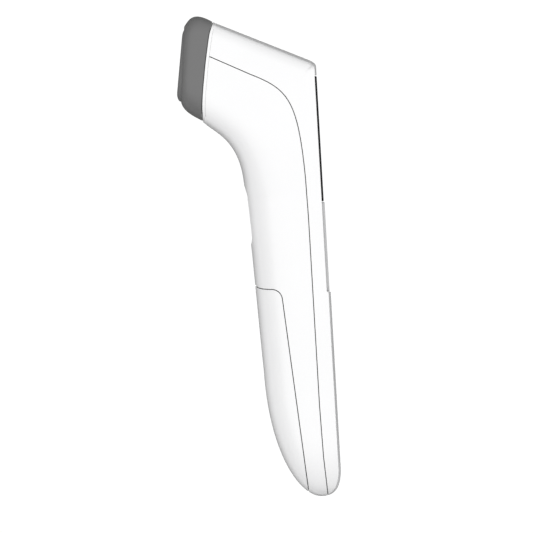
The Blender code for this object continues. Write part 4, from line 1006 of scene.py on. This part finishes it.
class THERMOMETER_OT_display(bpy.types.Operator):
    """Make the display lens and the control panel on the back"""
    bl_idname = "thermometer.display"
    bl_label = "Display and panel"

    def execute(self, context):
        edge = context.scene.thermometer_sizes.plate_round / MM
        lens = crowned_plate("lens", LENS_LOW + 0.1, LENS_HIGH - 0.2, LENS_DROP, 0.7, 2.8, edge)
        finish_piece(lens, "lens", ["display_lens"])
        panel = crowned_plate("panel", PANEL_LOW + 0.05, LENS_LOW - 0.1, PLATE_DROP, 2.8, 0.7, edge)
        holes = []
        for node in KEYS:
            radius, place = key_place(node)
            radius += KEY_GAP
            profile = [(0, PLATE_BACK - 3), (radius, PLATE_BACK - 3), (radius, PLATE_X - 0.5),
                       (radius + KEY_BEVEL, PLATE_X + 0.1), (radius + KEY_BEVEL, BACK_X + 3), (0, BACK_X + 3)]
            holes.append((LESS, cutter(turned(profile, place, 72))))
        cut(panel, *holes)
        finish_piece(panel, "panel", ["control_panel"])
        clear_helpers()
        return {"FINISHED"}


class THERMOMETER_OT_keys(bpy.types.Operator):
    """Make the three dished keys and the measuring button"""
    bl_idname = "thermometer.keys"
    bl_label = "Keys and button"

    def execute(self, context):
        dish = context.scene.thermometer_sizes.key_dish / MM
        for node, body in KEYS.items():
            low, high = corner_of(node)
            radius, place = key_place(node)
            top, foot = high.x, low.x
            profile = [(0, foot), (1.4, foot), (1.4, PLATE_BACK - 1.0), (radius - 0.2, PLATE_BACK - 1.0),
                       (radius, PLATE_BACK - 0.8), (radius, top - KEY_ROUND)]
            for angle in quarter(8)[1:]:
                profile.append((radius - KEY_ROUND + KEY_ROUND * math.cos(angle),
                                top - KEY_ROUND + KEY_ROUND * math.sin(angle)))
            hollow = radius - 0.9
            for share in np.linspace(1, 0, 12):
                profile.append((hollow * share, top - dish * (1 - share * share)))
            key = made(node.replace("button", "key_cap"), turned(profile, place, 72))
            finish_piece(key, "keys", [node], body)

        fine = context.scene.thermometer_sizes.fineness
        low, high = corner_of("measure_button")
        middle = (low.z + high.z) / 2
        inner = at_height(front_outline(), middle) + WALL + 2.2
        wide, tall = BUTTON_WIDTH, BUTTON_HEIGHT
        outline = rounded(wide, tall, BUTTON_ROUND, middle)
        cap = made("trigger_cap", extruded(outline, NOSE_X, inner + 0.4, "X"))
        skin = cutter(loft(0.5, fine))
        lip = cutter(extruded(rounded(wide + 2, tall + 2, 5, middle), inner, inner + 1.2, "X"))
        post = cutter(boxed((inner + 0.5, -1.8, middle - 1.8), (high.x, 1.8, middle + 1.8)))
        cut(cap, (WITHIN, skin), (PLUS, lip), (PLUS, post))
        finish_piece(cap, "button", ["measure_button"], "measuring_button")
        clear_helpers()
        return {"FINISHED"}


class Tree:
    """A Geometry Nodes tree being made, whose inputs keep their identifiers and values."""

    def __init__(self, name, points, **sizes):
        self.tree = bpy.data.node_groups.new(name, "GeometryNodeTree")
        self.tree.interface.new_socket("Geometry", in_out="OUTPUT", socket_type="NodeSocketGeometry")
        self.values = {}
        if points:
            self.tree.interface.new_socket("Points", in_out="INPUT", socket_type="NodeSocketGeometry")
        for size, value in sizes.items():
            self.add_input(size.replace("_", " "), "Float", value)
        self.add_input("Material", "Material", LOOKS["steel"])
        self.given = self.tree.nodes.new("NodeGroupInput").outputs
        self.output = self.tree.nodes.new("NodeGroupOutput")

    def add_input(self, name, kind, value):
        socket = self.tree.interface.new_socket(name, in_out="INPUT", socket_type="NodeSocket" + kind)
        self.values[name] = (socket.identifier, value)

    def node(self, kind, settings=None, **links):
        """First output of a new node. A link named by a number goes to the input with that index."""
        node = self.tree.nodes.new(kind if kind.startswith("Shader") else "GeometryNode" + kind)
        for key, value in (settings or {}).items():
            setattr(node, key, value)
        for key, value in links.items():
            socket = node.inputs[int(key[1:])] if key[1:].isdigit() else node.inputs[key.replace("_", " ")]
            if not isinstance(value, (bpy.types.NodeSocket, list)):
                socket.default_value = value
                continue
            for one in value if isinstance(value, list) else [value]:
                self.tree.links.new(one, socket)
        return node.outputs[0]

    def share(self, size, factor):
        return self.node("ShaderNodeMath", {"operation": "MULTIPLY"}, _0=self.given[size], _1=factor)

    def raised(self, geometry, size, factor):
        """Geometry moved along Z by a share of one of the sizes."""
        lift = self.node("ShaderNodeCombineXYZ", Z=self.share(size, factor))
        return self.node("Transform", _0=geometry, Translation=lift)

    def wire(self, resolution, path, radius):
        """Round wire along a path."""
        ring = self.node("CurvePrimitiveCircle", Resolution=resolution, Radius=self.given[radius])
        return self.node("CurveToMesh", _0=path, _1=ring, Fill_Caps=True)

    def end(self, geometry):
        """Realises the instances, sets the material and closes the tree."""
        real = self.node("RealizeInstances", _0=geometry)
        painted = self.node("SetMaterial", _0=real, Material=self.given["Material"])
        self.tree.links.new(painted, self.output.inputs[0])
        return self

    def run(self, name, points=(), **changed):
        """A plain mesh made by the tree, on points that each have a turn."""
        data = bpy.data.meshes.new(name)
        if points:
            data.from_pydata([p for p, _ in points], [], [])
            turns = data.attributes.new("turn", "FLOAT_VECTOR", "POINT")
            turns.data.foreach_set("vector", [c for _, turn in points for c in turn])
        piece = bpy.data.objects.new(name, data)
        bpy.context.scene.collection.objects.link(piece)
        modifier = piece.modifiers.new("make", "NODES")
        modifier.node_group = self.tree
        for size, (identifier, value) in self.values.items():
            modifier[identifier] = changed.get(size.replace(" ", "_"), value)
        settle(piece)
        return piece


def screw_tree():
    """Pan-head screws with a cross recess and a thread, one on each point."""
    tree = Tree("screws", True, Head_radius=0.0018, Head_height=0.0011, Shank_radius=0.0009,
                Length=0.0045, Pitch_turns=8.0, Thread=0.00012)
    node, given = tree.node, tree.given
    head = node("MeshCylinder", Vertices=40, Radius=given["Head radius"], Depth=given["Head height"])
    slots = [node("MeshCube", Size=size) for size in ((0.0021, 0.0005, 0.0009), (0.0005, 0.0021, 0.0009))]
    cross = tree.raised(node("JoinGeometry", _0=slots), "Head height", -1.0)
    head = tree.raised(head, "Head height", -0.5)
    head = node("MeshBoolean", {"operation": LESS}, _0=head, _1=cross)
    shank = node("MeshCylinder", Vertices=24, Radius=given["Shank radius"], Depth=given["Length"])
    helix = node("CurveSpiral", Resolution=16, Rotations=given["Pitch turns"], _2=given["Shank radius"],
                 _3=given["Shank radius"], Height=tree.share("Length", 0.92))
    parts = [head, tree.raised(shank, "Length", 0.5), tree.wire(4, helix, "Thread")]
    turn = node("InputNamedAttribute", {"data_type": "FLOAT_VECTOR"}, Name="turn")
    return tree.end(node("InstanceOnPoints", Points=given["Points"], Instance=node("JoinGeometry", _0=parts),
                         Rotation=turn))


def spring_tree():
    """Conical coil of round wire."""
    tree = Tree("springs", False, Base_radius=0.0024, Top_radius=0.0036, Height=0.002, Turns=2.5,
                Wire_radius=0.00033)
    given = tree.given
    helix = tree.node("CurveSpiral", Resolution=40, Rotations=given["Turns"], _2=given["Base radius"],
                      _3=given["Top radius"], Height=given["Height"])
    return tree.end(tree.wire(12, helix, "Wire radius"))


class THERMOMETER_OT_fasteners(bpy.types.Operator):
    """Make the six screws and the two battery springs"""
    bl_idname = "thermometer.fasteners"
    bl_label = "Screws and springs"

    def execute(self, context):
        bay = bay_matrix()
        turns = {"board": FACING_BACK.to_3x3(), "holder": nose_matrix().to_3x3(),
                 "housing": bay.to_3x3() @ FACING_BACK.to_3x3()}
        nodes = [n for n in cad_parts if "_screw_" in n]
        points = []
        for node in sorted(nodes):
            turn = turns[node.split("_")[0]]
            seat = centre_of(node) - turn @ Vector((0, 0, SCREW_MIDDLE))
            points.append((tuple(seat * MM), tuple(turn.to_euler())))
        screws = screw_tree().run("screws", points)
        finish_piece(screws, "steel", nodes)

        tree = spring_tree()
        for node, base, top in (("negative_spring", 2.4, 3.6), ("bridge_spring", 3.6, 2.4)):
            coil = tree.run(node.replace("spring", "coil"), Base_radius=base * MM, Top_radius=top * MM)
            place = Matrix.Translation(centre_of(node) * MM) @ bay.to_3x3().to_4x4()
            coil.data.transform(place @ Matrix.Translation((0, 0, -0.001)))
            finish_piece(coil, "steel", [node])
        return {"FINISHED"}


INNER = {
    "inner": ("lcd_frame", "ribbon_connector"),
    "black": ("controller_chip", "buzzer", "sensor_holder", "mode_switch", "memory_switch", "sound_switch",
              "trigger_switch", "lead_negative"),
    "rubber": ("display_gasket", "contact_strip", "sensor_gasket"),
    "lcd": ("lcd_glass",),
    "guide": ("backlight_guide",),
    "steel": ("thermopile", "positive_contact", "negative_contact", "bridge_contact"),
    "brass": ("sensor_barrel",),
    "filter": ("infrared_filter",),
    "board": ("main_board", "sensor_board"),
    "film": ("sensor_ribbon",),
    "cell": ("cell_left", "cell_right"),
    "red": ("lead_positive",),
    "keys": ("mode_plunger", "memory_plunger", "sound_plunger", "trigger_plunger"),
}


class THERMOMETER_OT_inside(bpy.types.Operator):
    """Give the inner parts their worked materials"""
    bl_idname = "thermometer.inside"
    bl_label = "Inner parts"

    def execute(self, context):
        for look, nodes in INNER.items():
            for node in nodes:
                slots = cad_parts[node].material_slots
                if not slots:
                    raise RuntimeError(f"{node} has no material slot")
                for slot in slots:
                    slot.material = LOOKS[look]
        return {"FINISHED"}


def surroundings(studio):
    """Bright soft light in front, dimmer above, below and behind, before a plain pale backdrop."""
    world = bpy.data.worlds.new("studio")
    world.use_nodes = True
    world.node_tree.nodes.clear()
    sky = Shading(world.node_tree)
    way = sky.node("TexCoord", {}, {}, "Generated")
    near = sky.node("VectorMath", {"operation": "DOT_PRODUCT"}, {0: way, 1: BRIGHT_SIDE}, "Value")
    height = sky.parts(way)[2]
    # Black flags behind and below the object keep its outline crisp: only reflections see them
    open_air = 1 - sky.node("LightPath", {}, {}, "Is Glossy Ray") * studio.flags
    front = near.ramp(-0.15, 0.25)
    dim = 1 - height.ramp(0, 1) * (1 - studio.above)
    dim = dim * (1 - height.ramp(0, -1) * (1 - open_air * studio.below))
    glow = (front * studio.front + (1 - front) * open_air * studio.behind) * dim
    lit = sky.node("Background", {}, {"Color": (1, 1, 1), "Strength": glow})
    seen = sky.node("Background", {}, {"Color": (1, 1, 1), "Strength": studio.backdrop})
    shown = sky.node("LightPath", {}, {}, "Is Camera Ray")
    sky.node("OutputWorld", {}, {0: sky.node("MixShader", {}, {0: shown, 1: lit, 2: seen})}, None)
    return world


class THERMOMETER_OT_stage(bpy.types.Operator):
    """Make the pale floor, the surroundings, the far softbox and the camera"""
    bl_idname = "thermometer.stage"
    bl_label = "Studio"

    def execute(self, context):
        studio = context.scene.thermometer_studio
        scene = context.scene
        floor = bmesh.new()
        bmesh.ops.create_grid(floor, x_segments=2, y_segments=2, size=1500)
        bmesh.ops.translate(floor, verts=floor.verts, vec=(0, 0, TAIL_Z - 0.2))
        floor = made("floor", floor)
        look = Look("pale_floor", roughness=0.9)
        pale = look.blend(look.noise(0.4, 2), (0.88,) * 3, (0.9,) * 3)
        floor.data.materials.append(look.set(base_color=pale))
        floor.visible_diffuse = floor.visible_glossy = False

        scene.world = surroundings(studio)
        scene.view_settings.view_transform = "Standard"
        far = bpy.data.lights.new("far_softbox", "AREA")
        far.size = 0.9
        far.energy = studio.far_power
        lamp = bpy.data.objects.new("far_softbox", far)
        scene.collection.objects.link(lamp)
        lamp.location = VIEW_AIM + Vector((0.0, 1.0, 0.1))
        lamp.rotation_euler = (VIEW_AIM - lamp.location).to_track_quat("-Z", "Y").to_euler()
        lamp.visible_glossy = False

        camera = bpy.data.cameras.new("camera")
        camera.type = "ORTHO"
        camera.ortho_scale = studio.frame_width
        camera.clip_start, camera.clip_end = 0.01, 10
        view = bpy.data.objects.new("camera", camera)
        scene.collection.objects.link(view)
        across = Vector((math.cos(VIEW_LEAN), 0, -math.sin(VIEW_LEAN)))
        up = Vector((math.sin(VIEW_LEAN), 0, math.cos(VIEW_LEAN)))
        turn = Matrix((across, up, across.cross(up))).transposed()
        view.matrix_world = Matrix.Translation(VIEW_AIM - Vector((0, 0.6, 0))) @ turn.to_4x4()
        scene.camera = view
        return {"FINISHED"}


STEPS = ("finishes", "housings", "nose", "display", "keys", "fasteners", "inside", "stage")


class THERMOMETER_PT_panel(bpy.types.Panel):
    """Steps and settings of the thermometer"""
    bl_idname = "THERMOMETER_PT_panel"
    bl_label = "Infrared thermometer"
    bl_space_type = "VIEW_3D"
    bl_region_type = "UI"
    bl_category = "Thermometer"

    def draw(self, context):
        for group in ("sizes", "finishes", "studio"):
            box = self.layout.box()
            settings = getattr(context.scene, f"thermometer_{group}")
            for name in settings.bl_rna.properties.keys():
                if name not in ("rna_type", "name"):
                    box.prop(settings, name)
        for step in STEPS:
            self.layout.operator(f"thermometer.{step}")


CLASSES = (
    ThermometerSizes, ThermometerFinishes, ThermometerStudio, THERMOMETER_OT_finishes,
    THERMOMETER_OT_housings, THERMOMETER_OT_nose, THERMOMETER_OT_display, THERMOMETER_OT_keys,
    THERMOMETER_OT_fasteners, THERMOMETER_OT_inside, THERMOMETER_OT_stage, THERMOMETER_PT_panel,
)


def register():
    for cls in CLASSES:
        bpy.utils.register_class(cls)
    bpy.types.Scene.thermometer_sizes = bpy.props.PointerProperty(type=ThermometerSizes)
    bpy.types.Scene.thermometer_finishes = bpy.props.PointerProperty(type=ThermometerFinishes)
    bpy.types.Scene.thermometer_studio = bpy.props.PointerProperty(type=ThermometerStudio)


def unregister():
    for group in ("sizes", "finishes", "studio"):
        delattr(bpy.types.Scene, f"thermometer_{group}")
    for cls in reversed(CLASSES):
        bpy.utils.unregister_class(cls)


def main():
    register()
    for step in STEPS:
        if getattr(bpy.ops.thermometer, step)() != {"FINISHED"}:
            raise RuntimeError(f"{step} did not finish")


if __name__ == "__main__":
    main()
